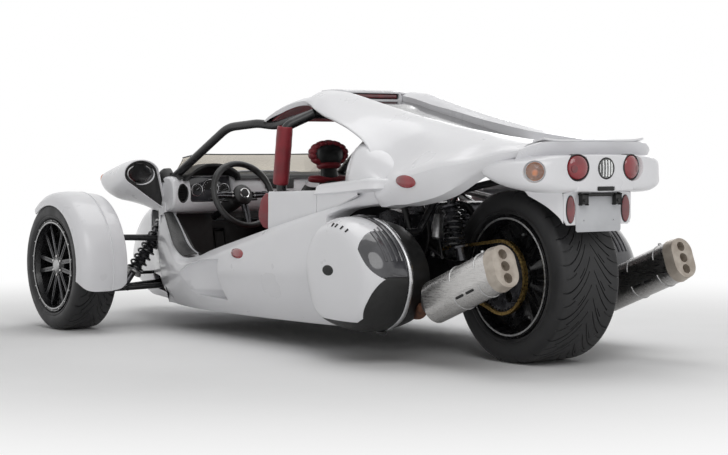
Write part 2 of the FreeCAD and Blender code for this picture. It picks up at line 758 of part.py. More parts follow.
def make_nose():
    """Nose cowl: a hollow shell, open behind, with an opening each side for the suspension."""
    wall = float(S["skin"])
    outer = nose_solid()
    inner_rows = [shrunk(row, wall) for row in smooth(NOSE, 3)]
    first = list(inner_rows[0])
    first[0] -= 60
    last = list(inner_rows[-1])
    last[0] -= 5
    inner_rows = [tuple(first)] + inner_rows[1:-1] + [inner_rows[-1], tuple(last)]
    inner = loft([wire_of(ring_points(row)) for row in inner_rows])
    opening = block(2200, 2475, 240, 600, 140, 545)
    shape = outer.cut(inner).cut(opening).cut(mirrored(opening))
    mouth = block(2860, 3100, -110, 110, 196, 262)
    shape = shape.cut(mouth)
    gap = float(S["panel_gap"])
    socket = block(2790, 2935, 128, 206, 345, 425)
    glass = block(2790 + gap, 2935 - gap, 128 + gap, 206 - gap, 345 + gap, 425 - gap)
    lamp = shape.common(glass)
    feature("nose_cowl", shape.cut(socket).cut(mirrored(socket)))
    return lamp


HEADLAMP = make_nose()

DOOR_LINE = (
    # station, height of the edge of the door opening
    (2052, 519), (1908, 386), (1767, 338), (1541, 380), (1325, 433), (1094, 488),
)


def make_tub():
    """Cockpit tub: floor, side walls cut down for the doors, footwell and rear bulkhead."""
    half = float(S["cabin_half"])
    wall = float(S["tub_wall"])
    floor = float(S["clearance"] + S["skin"] + S["panel_gap"])
    rear = HOOP_X + float(S["tube_radius"] + S["panel_gap"])
    outer = block(rear, 2128, -half, half, floor, 660)
    inner = block(rear + wall, 2128 + 5, -half + wall, half - wall, floor + wall, 700)
    well = block(2128, 2375, -236, 236, floor, 480)
    well_in = block(2120, 2375 - wall, -236 + wall, 236 - wall, floor + wall, 500)
    front = block(2128 - wall, 2128, -half, half, floor, 530 - float(S["panel_gap"]))
    front_in = block(2100, 2140, -236 + wall, 236 - wall, floor + wall, 500)
    line = [(2140, 548)] + list(DOOR_LINE) + [(880, 500), (880, 800), (2140, 800)]
    cutter = slab([(x, z - 14) for x, z in line], -600, 600)
    shape = outer.cut(inner).cut(cutter)
    bulkhead = block(rear, rear + wall, -380, 380, floor, 600)
    shape = fused([shape, bulkhead, front.cut(front_in), well.cut(well_in)])
    return feature("cockpit_tub", shape)


make_tub()

POD = (
    # station, top edge y and z, waist y and z, bottom y and z
    (2128, 482, 556, 505, 330, 420, 108),
    (2052, 515, 519, 535, 320, 440, 108),
    (1908, 545, 386, 575, 290, 480, 108),
    (1767, 560, 338, 605, 260, 500, 108),
    (1541, 560, 380, 622, 280, 510, 108),
    (1094, 552, 488, 624, 330, 520, 112),
    (668, 545, 580, 622, 370, 520, 120),
)


def pod_body(lift=0.0):
    """The left side pod before its scoop is cut, moved up by lift."""
    inside = float(S["cabin_half"] + S["panel_gap"])
    rings = []
    for x, top_y, top_z, mid_y, mid_z, low_y, low_z in smooth(POD, 2):
        points = [(inside, low_z), (inside, top_z), (top_y, top_z), (mid_y, mid_z), (low_y, low_z)]
        if low_y <= inside:
            points[-1] = (inside + 1, low_z)
        rings.append(wire_of([at(x, y, z + lift) for y, z in points]))
    return loft(rings)


def make_pods():
    """Lower body sides, from the front wheels back to the side cases, with an air scoop."""
    front = [at(1806, y, z) for y, z in ((603, 190), (603, 315), (720, 315), (720, 190))]
    back = [at(1475, y, z) for y, z in ((558, 166), (558, 331), (720, 331), (720, 166))]
    scoop = loft([wire_of(front), wire_of(back)])
    duct = block(1415, 1475.1, 558, 592, 182, 318)
    return feature("side_pods", pair(pod_body().cut(scoop).cut(duct)))


make_pods()


def make_side_panels():
    """Panel beside each seat and the fairing behind it, under the roof's rear leg."""
    low = float(S["cabin_half"]) + 55
    panel = slab([(1090, 480), (1090, 648), (718, 659), (516, 698), (366, 698), (366, 640), (668, 575)],
                 low, low + 36)
    fairing = slab([(740, 664), (740, 770), (650, 842), (520, 778), (430, 700), (430, 664)],
                   330, low - 1)
    foot = slab([(740, 640), (740, 664), (520, 664), (520, 640)], 330, low)
    shape = fused([panel, foot, fairing]).cut(pod_body(float(S["panel_gap"])))
    return feature("side_panels", pair(shape))


make_side_panels()

ROOF = (
    # station, edge y and z, shoulder y and z, crown half width and z
    (1600, 352, 948, 318, 986, 150, 1022),
    (1500, 384, 952, 336, 1002, 160, 1042),
    (1324, 420, 956, 352, 1022, 165, 1060),
    (1150, 432, 972, 364, 1034, 168, 1068),
    (965, 432, 984, 372, 1036, 170, 1062),
)


def roof_ring(row, drop):
    """A roof section with its underside lowered by drop."""
    x, edge_y, edge_z, shoulder_y, shoulder_z, crown_y, crown_z = row
    top = [(edge_y, edge_z), (shoulder_y, shoulder_z), (crown_y, crown_z)]
    over = top + [(-y, z) for y, z in reversed(top)]
    under = [(y * 0.96, z - drop) for y, z in reversed(over)]
    return wire_of([at(x, y, z) for y, z in over + under])


def make_roof():
    """Roof panel, swept back at its front corners and notched for the tubes, with its lamp housing."""
    panel = loft([roof_ring(row, float(S["skin"])) for row in smooth(ROOF, 3)])
    corner = prism([at(1720, 90, 800), at(1720, 600, 800), at(1324, 600, 800), at(1324, 425, 800),
                    at(1590, 90, 800)], Vector(0, 0, 400))
    notch = tube_run(hoop_points(1), float(S["tube_radius"] + S["panel_gap"]), HOOP_BEND)
    housing = slab([(1150, 1050), (1110, 1084), (965, 1089), (930, 1084), (930, 1050)], -150, 150)
    slot = block(920, 942, -122, 122, 1056, 1078)
    shape = fused([panel, housing]).cut(slot)
    for cutter in (corner, mirrored(corner), notch, mirrored(notch)):
        shape = shape.cut(cutter)
    return feature("roof_panel", max(shape.Solids, key=lambda piece: piece.Volume))


make_roof()

COWL = (
    # station, depth of the inner wall, then inner top, ridge, shoulder, crease and lower edge as y and z
    (964.7, 90, 150, 1040, 260, 1044, 360, 1024, 432, 975, 420, 962),
    (650, 84, 150, 985, 215, 985, 375, 925, 434, 898, 424, 886),
    (500, 80, 150, 955, 215, 958, 385, 870, 444, 825, 434, 812),
    (366, 78, 150, 935, 215, 935, 400, 810, 500, 690, 488, 640),
    (180, 72, 145, 910, 215, 912, 390, 800, 492, 705, 472, 622),
    (30, 62, 141, 890, 215, 892, 365, 806, 462, 738, 430, 655),
    (-80, 55, 136, 874, 215, 876, 338, 812, 400, 772, 366, 728),
    (-180, 50, 128, 858, 220, 860, 312, 826, 350, 798, 334, 768),
    (-290, 45, 120, 845, 225, 846, 290, 832, 318, 815, 306, 800),
)


def make_cowls():
    """Roof legs: two open shells from the roof down to the tail, with a wall on the inner side."""
    wall = float(S["skin"])
    rings = []
    for row in smooth(COWL, 2):
        x, depth = row[:2]
        pairs = list(zip(row[2::2], row[3::2]))
        inner_top, ridge, shoulder, crease, edge = pairs
        outside = [(inner_top[0], inner_top[1] - depth), inner_top, ridge, shoulder, crease, edge]
        inside = [(edge[0] - wall, edge[1] + 2), (crease[0] - wall * 1.2, crease[1]),
                  (shoulder[0] - wall * 0.6, shoulder[1] - wall), (ridge[0] - 4, ridge[1] - wall),
                  (inner_top[0] + wall, inner_top[1] - wall), (inner_top[0] + wall, inner_top[1] - depth)]
        rings.append(wire_of([at(x, y, z) for y, z in outside + inside]))
    return feature("rear_cowls", pair(loft(rings)))


make_cowls()


def make_deck():
    """Engine cover between the roof legs, with a row of louvres."""
    rings = []
    for x, half, z in ((950, 149.7, 960), (650, 149.7, 915), (180, 144.7, 852), (-285, 119.7, 815)):
        rings.append(wire_of([at(x, -half, z), at(x, half, z), at(x, half, z - 8), at(x, -half, z - 8)]))
    shape = loft(rings)
    slots = []
    for index in range(9):
        x = 820 - index * 60
        slots.append(block(x, x + 24, -110, 110, 700, 1000))
    return feature("engine_deck", shape.cut(Part.makeCompound(slots)))


make_deck()

def lens(x, y, z, radius, depth, lean):
    """A round lens dome facing back; lean turns it outwards in degrees."""
    facing = Vector(-math.cos(math.radians(lean)), math.sin(math.radians(lean)), 0)
    base = at(x, y, z)
    return Part.makeCylinder(radius, depth, base, facing)




TAIL_LAMPS = (
    # colour, x of the base, y, z, radius, depth, lean
    ("red", -380, 130, 748, 45, 24, 0),
    ("clear", -345, 278, 738, 34, 30, 40),
)
TAIL = (
    # station, lamp pod inner and outer y, low and high z
    (-90, 336, 352, 716, 728),
    (-180, 250, 350, 686, 762),
    (-292, 70, 334, 656, 792),
    (-388, 70, 300, 662, 796),
)


def make_tail():
    """Tail: two lamp pods joined by a middle block, with the spoiler lip above."""
    rings = []
    for x, near, far, low, high in smooth(TAIL, 3):
        corners = [at(x, near, low), at(x, far, low), at(x, far, high), at(x, near, high)]
        rings.append(rounded_wire(corners, 34))
    pod = loft(rings)
    middle = block(-405, -290.3, -78, 78, 660, 799)
    lip = slab([(-290.3, 790), (-290.3, 845), (-330, 850), (-330, 842), (-312, 806), (-312, 790)], -235, 235)
    shape = fused([pod, mirrored(pod), middle, lip])
    for colour, x, y, z, radius, depth, lean in TAIL_LAMPS:
        socket = lens(x, y, z, radius + float(S["panel_gap"]), depth + 60, lean)
        shape = shape.cut(socket).cut(mirrored(socket))
    return feature("tail_section", shape)


make_tail()


def make_lamps():
    """Red and clear lenses at the back, headlamps in the nose, markers on the sides."""
    red = []
    clear = []
    for colour, x, y, z, radius, depth, lean in TAIL_LAMPS:
        shape = lens(x, y, z, radius, depth, lean)
        (red if colour == "red" else clear).extend([shape, mirrored(shape)])
    clear.append(lens(-405.3, 0, 748, 38, 12, 0))
    for sign in (1, -1):
        red.append(rod(at(-358.3, sign * 135, 600), at(-364, sign * 135, 600), 23))
    red.append(block(926, 941.7, -121.7, 121.7, 1056.3, 1077.7))
    marker = rod(at(1248, 624.2, 330), at(1248, 630, 330), 20)
    red.extend([marker, mirrored(marker)])
    beam = HEADLAMP
    clear.extend([beam, mirrored(beam)])
    feature("red_lamps", Part.makeCompound(red))
    feature("clear_lamps", Part.makeCompound(clear))


make_lamps()


def make_flap():
    """Plate flap under the tail with its blank number plate."""
    flap = slab([(-350, 657.4), (-350, 540), (-358, 540), (-358, 657.4)], -165, 165)
    plate = slab([(-358.3, 650), (-358.3, 514), (-361.3, 514), (-361.3, 650)], -110, 110)
    for y in (-73, 73):
        hole = rod(at(-300, y, 556), at(-400, y, 556), 3.5)
        plate = plate.cut(hole)
        flap = flap.cut(hole)
    feature("plate_flap", flap)
    feature("number_plate", plate)


make_flap()


TILT = math.radians(float(S["column_tilt"]))
WHEEL_AT = at(CABIN_FRONT, 235, 620) - Vector(float(S["wheel_behind"]), 0, 0)
COLUMN_WAY = Vector(math.cos(TILT), 0, -math.sin(TILT))


def make_dash():
    """Dashboard: a full-width crossbar with a hooded pod before the driver."""
    profile = [(2126, 530), (2122, 688), (2060, 700), (1990, 660), (1985, 560), (2040, 530)]
    bar = slab(profile, -430, 430)
    pod = slab([(2040, 600), (2040, 735), (1990, 748), (1945, 735), (1955, 610)], 120, 350)
    bore = rod(WHEEL_AT, WHEEL_AT + COLUMN_WAY * 400, 17 + float(S["panel_gap"]))
    return feature("dashboard", fused([bar, pod]).cut(bore))


make_dash()


def make_windscreen():
    """Low tinted screen: a thin curved sheet leaning back between the pillars."""
    rings = []
    for y, x_low, x_high in ((-415, 2125, 2035), (-210, 2185, 2085), (0, 2205, 2100), (210, 2185, 2085),
                             (415, 2125, 2035)):
        low = 640
        rings.append(wire_of([at(x_low, y, low), at(x_high, y, 806), at(x_high - 5, y, 806),
                              at(x_low - 5, y, low)]))
    below = nose_solid(float(S["panel_gap"]))
    return feature("windscreen", loft(rings).cut(below).cut(block(2000, 2131, -600, 600, 600, 701)))


make_windscreen()


def make_seats():
    """Two bucket seats as plain closed soft solids."""
    half = float(S["seat_half"])
    middle = float(S["seat_middle"])
    low = float(S["clearance"] + S["skin"] + S["tub_wall"] + S["panel_gap"] * 2)
    profile = [(1740, low), (1745, 235), (1700, 262), (1330, 205), (1118, 700), (1060, 716), (1010, 700),
               (1170, 215), (1235, low)]
    seat = slab(profile, middle - half, middle + half)
    return feature("seats", pair(seat))


def make_head_restraints():
    """Head restraints above the seats, with the pads on the roof posts."""
    middle = float(S["seat_middle"])
    pad_solid = slab([(1112, 716.3), (1120, 860), (1085, 872), (1040, 860), (1030, 716.3)],
                      middle - 118, middle + 118)
    return feature("head_restraints", pair(pad_solid))


def make_pads():
    """Foam sleeves on the roll hoop beside each seat."""
    bore = tube_run(hoop_points(1), float(S["tube_radius"]) + 0.4, HOOP_BEND)
    sleeve = slab([(1046, 686), (1122, 693), (1100, 910), (1024, 903)], 440, 512)
    return feature("pillar_pads", pair(sleeve.cut(bore)))


make_seats()
make_head_restraints()
make_pads()


def make_pedals():
    """Three drilled pedals on their arms, hung from the footwell's front."""
    shapes = []
    for y, width in ((105, 46), (165, 46), (48, 44)):
        face = slab([(2285, 190), (2255, 275), (2261, 277), (2291, 192)], y - width / 2, y + width / 2)
        arm = slab([(2260, 262), (2310, 440), (2362.7, 440), (2362.7, 425), (2322, 425), (2272, 255)],
                   y - 7, y + 7)
        shapes.append(face.fuse(arm))
    return feature("pedals", Part.makeCompound(shapes))


make_pedals()

# ---------------------------------------------------------------- steering wheel



def make_steering():
    """Steering wheel with three spokes on its shaft, and the fixed column tube round the shaft."""
    rim_r = float(S["wheel_rim_radius"])
    thick = float(S["wheel_rim_thick"])
    rim = Part.makeTorus(rim_r, thick, WHEEL_AT, COLUMN_WAY)
    hub = rod(WHEEL_AT - COLUMN_WAY * 6, WHEEL_AT + COLUMN_WAY * 44, 42)
    shaft = rod(WHEEL_AT, WHEEL_AT + COLUMN_WAY * 300, 9)
    shapes = [rim, hub, shaft]
    up = Vector(math.sin(TILT), 0, math.cos(TILT))
    across = Vector(0, 1, 0)
    for degrees in (0, 180, 270):
        turn = math.radians(degrees)
        way = across * math.cos(turn) + up * math.sin(turn)
        side = COLUMN_WAY.cross(way)
        start = WHEEL_AT + way * 30 - side * 17 + COLUMN_WAY * 6
        corners = [start, start + side * 34, start + side * 28 + way * (rim_r - 30),
                   start + side * 6 + way * (rim_r - 30)]
        shapes.append(prism(corners, COLUMN_WAY * 6))
    feature("steering_wheel", fused(shapes))
    tube = rod(WHEEL_AT + COLUMN_WAY * 70, WHEEL_AT + COLUMN_WAY * 290, 17)
    bore = rod(WHEEL_AT + COLUMN_WAY * 60, WHEEL_AT + COLUMN_WAY * 300, 9 + float(S["bearing_gap"]))
    feature("steering_column", tube.cut(bore))


make_steering()

# ---------------------------------------------------------------- drive line

def make_drive():
    """Engine as one plain block, swingarm, sprocket, chain, header pipes and silencers."""
    engine = slab([(514, 230), (520, 560), (640, 580), (850, 520), (855, 240), (700, 190)], -235, 235)
    gearbox = block(432, 530, -120, 140, 300, 444)
    engine = fused([engine, gearbox, rod(at(455, 120, 372), at(455, float(S["chain_line"]) + 6, 372), 36)])
    feature("engine_block", engine)
    wheel_r = float(S["rear_tyre_radius"])
    fork = float(S["fork_half"])
    outer = fork + float(S["fork_wall"])
    legs = []
    for sign in (1, -1):
        a, b = sorted((sign * fork, sign * outer))
        legs.append(slab([(-46, wheel_r - 34), (-46, wheel_r + 34), (40, wheel_r + 40), (462, 400),
                          (462, 324), (40, wheel_r - 44)], a, b))
    cross = block(356, 410, -outer, outer, 334, 390)
    axle = rod(at(0, -fork - 40, wheel_r), at(0, fork + 40, wheel_r), float(S["rear_axle_radius"]))
    reach = CRADLE_HALF - float(S["tube_radius"] * THIN + S["panel_gap"])
    for sign in (1, -1):
        legs.append(rod(at(444, sign * (fork + 10), 362), at(444, sign * reach, 362), 12))
    feature("swingarm", fused(legs + [cross, axle]))


make_drive()


def make_sprocket():
    """Rear sprocket: a toothed plate with lightening holes on the hub's left."""
    line = float(S["chain_line"])
    tip = float(S["sprocket_radius"])
    teeth = 42
    points = []
    for index in range(teeth):
        for share, radius in ((0.0, tip - 9), (0.3, tip - 9), (0.45, tip), (0.85, tip)):
            turn = 2 * math.pi * (index + share) / teeth
            points.append(at(radius * math.cos(turn), line - 3, float(S["rear_tyre_radius"]) + radius * math.sin(turn)))
    plate = prism(points, Vector(0, 6, 0))
    cuts = []
    wheel_r = float(S["rear_tyre_radius"])
    for index in range(6):
        turn = 2 * math.pi * index / 6
        centre = (84 * math.cos(turn), 84 * math.sin(turn))
        cuts.append(rod(at(centre[0], line - 9, wheel_r + centre[1]), at(centre[0], line + 9, wheel_r + centre[1]), 22))
    hub = rod(at(0, 100.3, wheel_r), at(0, line, wheel_r), 46)
    bore = rod(at(0, 90, wheel_r), at(0, line + 20, wheel_r), 14 + float(S["bearing_gap"]))
    shape = fused([plate.cut(Part.makeCompound(cuts)), hub]).cut(bore)
    feature("rear_sprocket", shape)


make_sprocket()


def make_chain():
    """Drive chain: one loop round the sprocket and the engine's small sprocket."""
    line = float(S["chain_line"])
    wheel_r = float(S["rear_tyre_radius"])

    def loop(big, small, y):
        front = at(455, 0, 372)
        back = at(0, 0, wheel_r)
        gap = (front - back)
        turn = math.atan2(gap.z, gap.x)
        spread = math.acos((big - small) / gap.Length)

        def spot(centre, radius, angle):
            return Vector(centre.x + radius * math.cos(angle), y, centre.z + radius * math.sin(angle))

        top_back = spot(back, big, turn + spread)
        low_back = spot(back, big, turn - spread)
        top_front = spot(front, small, turn + spread)
        low_front = spot(front, small, turn - spread)
        edges = [
            Part.makeLine(top_front, top_back),
            Part.Arc(top_back, spot(back, big, turn + math.pi), low_back).toShape(),
            Part.makeLine(low_back, low_front),
            Part.Arc(low_front, spot(front, small, turn), top_front).toShape(),
        ]
        return Part.Face(Part.Wire(edges))

    tip = float(S["sprocket_radius"])
    outer = loop(tip + 13, 50, line - 9).extrude(Vector(0, 18, 0))
    inner = loop(tip + 0.8, 36.3, line - 20).extrude(Vector(0, 40, 0))
    return feature("chain", outer.cut(inner))


make_chain()

PIPE_LOW = at(60, float(S["pipe_middle"]), 246)
PIPE_HIGH = at(-352, float(S["pipe_middle"]), 400)


def oval(centre, way, tall, wide):
    """A flat oval wire across a direction: two half rounds and two straights."""
    side = Vector(0, 1, 0)
    up = way.cross(side)
    up.normalize()
    radius = wide / 2
    rise = tall / 2 - radius
    points = [
        centre + up * rise + side * radius, centre - up * rise + side * radius,
        centre - up * rise - side * radius, centre + up * rise - side * radius,
    ]
    bottom = centre - up * (rise + radius)
    top = centre + up * (rise + radius)
    return Part.Wire([
        Part.makeLine(points[0], points[1]), Part.Arc(points[1], bottom, points[2]).toShape(),
        Part.makeLine(points[2], points[3]), Part.Arc(points[3], top, points[0]).toShape(),
    ])


def make_exhaust():
    """Silencers with their capped ends and the pipes from the engine."""
    way = PIPE_HIGH - PIPE_LOW
    length = way.Length
    way.normalize()
    tall = float(S["silencer_tall"])
    wide = float(S["silencer_wide"])
    neck = loft([oval(PIPE_LOW - way * 50, way, 62, 60), oval(PIPE_LOW, way, tall, wide)])
    body = Part.Face(oval(PIPE_LOW, way, tall, wide)).extrude(way * (length - 40))
    silencer = neck.fuse(body)
    feature("exhausts", pair(silencer))
    base = PIPE_LOW + way * (length - 40 + 0.3)
    cap = loft([oval(base, way, tall + 6, wide + 6), oval(base + way * 46, way, tall - 6, wide - 6)])
    up = way.cross(Vector(0, 1, 0))
    up.normalize()
    for offset in (-45, 0, 45):
        start = base + way * 14 + up * offset
        cap = cap.cut(Part.makeCylinder(19, 60, start, way))
    feature("exhaust_caps", pair(cap))
    radius = 24
    end = PIPE_LOW - way * (50 + float(S["panel_gap"]))
    run = [at(600, 235.3, 262), at(600, 330, 262), at(440, 396, 190), at(210, 404, 190), end - way * 28, end]
    pipe = tube_run(run, radius, 90)
    feature("header_pipes", pair(pipe))


make_exhaust()

# ---------------------------------------------------------------- side cases

CASE_OUTLINE = (
    # station and height round the parting plane
    (628, 300), (628, 420), (560, 520), (440, 560), (300, 538), (190, 470), (126, 380), (122, 290),
    (170, 190), (270, 128), (420, 120), (560, 160),
)
CASE_MIDDLE = (380, 335)


def case_ring(y, scale, shift=0.0):
    """The case outline at a width, scaled about its middle."""
    middle_x, middle_z = CASE_MIDDLE
    points = []
    for x, z in CASE_OUTLINE:
        points.append(at(middle_x + (x - middle_x) * scale, y, middle_z + shift + (z - middle_z) * scale))
    return rounded_wire(points, 60)


def make_case():
    """Side case: inner half on the frame and hinged outer lid, both hollow, parted at a plane."""
    inner = float(S["case_inner"])
    split = float(S["case_split"])
    outer = float(S["case_outer"])
    wall = float(S["case_wall"])
    gap = float(S["panel_gap"])
    shell = loft([case_ring(inner + 58, 0.93), case_ring(split, 1.0)])
    void = loft([case_ring(inner + 58 + wall, 0.91), case_ring(split + 1, 0.98)])
    shell = shell.cut(void)
    lid = loft([case_ring(split + gap, 1.0), case_ring(split + 70, 0.985, 3), case_ring(outer - 40, 0.9, 6),
                case_ring(outer, 0.7, 8)])
    lid_void = loft([case_ring(split + gap - 1, 0.98), case_ring(split + 70, 0.965, 3),
                     case_ring(outer - 42, 0.87, 6), case_ring(outer - wall - 1, 0.68, 8)])
    lid = lid.cut(lid_void)
    feature("case_shells", pair(shell))
    feature("left_case_lid", lid)
    feature("right_case_lid", mirrored(lid))


make_case()

# ---------------------------------------------------------------- mirrors

MIRROR = (
    # station, middle y, middle z, half width, half height
    (2490, 598, 688, 22, 22),
    (2430, 582, 676, 62, 60),
    (2330, 560, 672, 104, 92),
    (2210, 580, 692, 106, 88),
    (2090, 612, 714, 96, 70),
)


MIRROR_NECK = (
    # station, then the neck's corners as y and z: low and high inside, high and low outside
    (2430, 366, 560, 392, 612, 560, 660, 600, 640),
    (2330, 386, 545, 420, 640, 540, 690, 600, 600),
    (2210, 430, 535, 450, 660, 560, 700, 640, 632),
    (2104, 488, 545, 510, 660, 580, 700, 656, 668),
)


def mirror_ring(row, shrink=0.0):
    """A twelve-cornered ring for the mirror horn."""
    x, y, z, half_y, half_z = row
    half_y -= shrink
    half_z -= shrink
    points = []
    for degrees in range(0, 360, 30):
        turn = math.radians(degrees)
        points.append(at(x, y + half_y * math.cos(turn), z + half_z * math.sin(turn)))
    return wire_of(points)


def make_mirrors():
    """Mirror horns on the nose shoulders, open behind, with the glass set in."""
    horn = loft([mirror_ring(row) for row in smooth(MIRROR, 3)])
    last = list(MIRROR[-1])
    mouth_rows = [MIRROR[-2], MIRROR[-1], tuple([last[0] - 20] + last[1:])]
    mouth = loft([mirror_ring(row, 8) for row in mouth_rows])
    rings = []
    for row in MIRROR_NECK:
        rings.append(wire_of([at(row[0], y, z) for y, z in zip(row[1::2], row[2::2])]))
    body = fused([horn, loft(rings)])
    clear = tube_run(pillar_points(1), float(S["tube_radius"]) * 0.9 + 3, PILLAR_BEND)
    gap = float(S["panel_gap"])
    for cutter in (mouth, clear, nose_solid(gap * 2, gap * 2), pod_body(gap)):
        body = body.cut(cutter)
    feature("mirror_pods", pair(body))
    inside = loft([mirror_ring(row, 8 + float(S["panel_gap"])) for row in mouth_rows])
    feature("mirror_glasses", pair(inside.common(block(2126, 2132, 400, 900, 500, 900))))


make_mirrors()


def finish():
    """Check every object, then write one file for each sub-part."""
    doc.recompute()
    for item in doc.Objects:
        if "Invalid" in item.State or "Error" in item.State:
            raise ValueError("%s is not up to date: %s" % (item.Label, item.State))
    os.makedirs("parts", exist_ok=True)
    bad = [item.Label for item in NODES if item.Shape.isNull() or not item.Shape.isValid()]
    if bad:
        raise ValueError("bad shapes: %s" % ", ".join(bad))
    for item in NODES:
        item.Shape.exportStep("parts/%s.step" % item.Label)
    print("%d sub-parts, %d solids" % (len(NODES), sum(len(item.Shape.Solids) for item in NODES)))


finish()
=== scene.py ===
"""Looks for the open three-wheeled car: body panels, trim, tyres, lamps, upholstery and studio."""

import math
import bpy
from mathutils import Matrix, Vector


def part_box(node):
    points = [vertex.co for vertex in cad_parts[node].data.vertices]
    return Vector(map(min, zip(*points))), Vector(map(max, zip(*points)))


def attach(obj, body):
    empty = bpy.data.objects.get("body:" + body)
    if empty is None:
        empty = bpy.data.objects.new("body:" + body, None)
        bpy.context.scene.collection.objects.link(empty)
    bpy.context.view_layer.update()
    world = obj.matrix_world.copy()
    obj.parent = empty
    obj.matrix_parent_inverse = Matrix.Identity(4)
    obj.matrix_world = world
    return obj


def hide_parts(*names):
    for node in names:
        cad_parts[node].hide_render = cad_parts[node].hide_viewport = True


bl_info = {
    "name": "Three-wheeled car",
    "version": (1, 0, 0),
    "blender": (4, 5, 0),
    "location": "View3D > Sidebar > Three-wheeler",
    "description": "Builds the car's panels, cockpit, wheels and lamps on the packed frame",
    "category": "Object",
}

import bmesh
import bpy
import numpy as np
from mathutils import Matrix, Vector

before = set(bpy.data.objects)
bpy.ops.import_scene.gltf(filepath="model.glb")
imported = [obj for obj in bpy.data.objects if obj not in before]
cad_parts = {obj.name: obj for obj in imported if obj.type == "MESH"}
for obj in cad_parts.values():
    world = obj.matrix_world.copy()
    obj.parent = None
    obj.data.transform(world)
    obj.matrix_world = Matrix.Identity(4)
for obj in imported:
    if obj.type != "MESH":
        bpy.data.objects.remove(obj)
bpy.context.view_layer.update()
REAR_X = sum(corner.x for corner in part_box("rear_tyre")) / 2
SIDES = (("left", 1), ("right", -1))
WHEELBASE = 2286
HALF_TRACK = 882
FRONT_RADIUS = 295.5
REAR_RADIUS = 332


# ------------------------------------------------------------------ places and meshes

def spot(x, y, z):
    """A place in metres, from millimetres ahead of the rear axle, left of the middle and up."""
    return Vector((REAR_X + x / 1000, y / 1000, z / 1000))


def flow(values, steps, corners=()):
    """Points on a smooth line through the values along the first axis, broken at the corners."""
    values = np.asarray(values, float)
    ends = [0] + sorted(corners) + [len(values) - 1]
    out = []
    for first, last in zip(ends, ends[1:]):
        for i in range(first, last):
            a, b = values[max(i - 1, first)], values[i]
            c, d = values[i + 1], values[min(i + 2, last)]
            for step in range(steps):
                t = step / steps
                out.append(b + 0.5 * ((c - a) * t + (2 * a - 5 * b + 4 * c - d) * t ** 2
                                      + (3 * b - a - 3 * c + d) * t ** 3))
    out.append(values[-1])
    return np.array(out)


def looped_faces(rows, cols):
    """Faces of a grid that closes both ways, like a torus."""
    last = (rows - 1) * cols
    return grid_faces(rows, cols, close=True) + [
        (last + j, last + (j + 1) % cols, (j + 1) % cols, j) for j in range(cols)]


def capped_faces(rows, cols):
    """Faces of a grid that closes round, flat at both ends."""
    return grid_faces(rows, cols, close=True) + [
        tuple(range(cols)), tuple(reversed(range((rows - 1) * cols, rows * cols)))]


def linked(name, data):
    """A new object in the scene from its data."""
    obj = bpy.data.objects.new(name, data)
    bpy.context.collection.objects.link(obj)
    return obj


def mesh_object(name, verts, faces):
    """A new object from corners and faces."""
    mesh = bpy.data.meshes.new(name)
    mesh.from_pydata([tuple(v) for v in verts], [], faces)
    mesh.update()
    return linked(name, mesh)


def seal(mesh, name):
    """Merges doubled corners, turns the faces outward and gives the result as mesh data."""
    bmesh.ops.remove_doubles(mesh, verts=mesh.verts, dist=1e-6)
    bmesh.ops.recalc_face_normals(mesh, faces=mesh.faces)
    if mesh.calc_volume(signed=True) < 0:
        bmesh.ops.reverse_faces(mesh, faces=mesh.faces)
    data = bpy.data.meshes.new(name)
    mesh.to_mesh(data)
    mesh.free()
    return data


def sealed(obj):
    """The object with its mesh sealed."""
    mesh = bmesh.new()
    mesh.from_mesh(obj.data)
    obj.data = seal(mesh, obj.name)
    return obj


def circle(count, shift=0.0):
    """Cosine and sine at even turns all round."""
    angles = [2 * math.pi * (i + shift) / count for i in range(count)]
    return [(math.cos(a), math.sin(a)) for a in angles]


def squared(value, power):
    """A cosine or sine drawn towards its ends, which squares an oval off."""
    return math.copysign(abs(value) ** power, value)


def grid_faces(rows, cols, close=False):
    """Faces between rows of corners, closed round each row if asked."""
    faces = []
    for i in range(rows - 1):
        for j in range(cols if close else cols - 1):
            k = (j + 1) % cols
            faces.append((i * cols + j, i * cols + k, (i + 1) * cols + k, (i + 1) * cols + j))
    return faces


def outward(obj):
    """Turns a sheet's faces away from its centre."""
    mesh = obj.data
    middle = sum((Vector(c) for c in obj.bound_box), Vector()) / 8
    total = sum((p.center - middle).dot(p.normal) * p.area for p in mesh.polygons)
    if total < 0:
        mesh.flip_normals()
    return obj


def settle(obj):
    """Applies an object's modifiers to its mesh."""
    bpy.context.view_layer.update()
    graph = bpy.context.evaluated_depsgraph_get()
    mesh = bpy.data.meshes.new_from_object(obj.evaluated_get(graph))
    obj.modifiers.clear()
    obj.data = mesh
    return obj


def modify(obj, kind, **values):
    """Adds a modifier with its settings."""
    item = obj.modifiers.new(kind.lower(), kind)
    for key, value in values.items():
        setattr(item, key, value)


def combine(obj, other, operation):
    """Adds or takes away the other object's volume, or keeps what the two share."""
    modify(obj, "BOOLEAN", object=other, operation=operation, solver="MANIFOLD")
    settle(obj)
    bpy.data.objects.remove(other)
    return obj


def cut(obj, cutter):
    """Takes the cutter's volume away."""
    return combine(obj, cutter, "DIFFERENCE")


def mirrored(obj, name):
    """A copy on the other side of the car."""
    twin = obj.copy()
    twin.data = obj.data.copy()
    twin.name = name
    twin.data.transform(Matrix.Scale(-1, 4, (0, 1, 0)))
    twin.data.flip_normals()
    bpy.context.collection.objects.link(twin)
    return twin


def widened(obj, place, grow, way):
    """Stretches a piece along a direction about a place."""
    obj.data.transform(Matrix.Translation(place) @ Matrix.Scale(grow, 4, way)
                       @ Matrix.Translation(-place))
    return obj


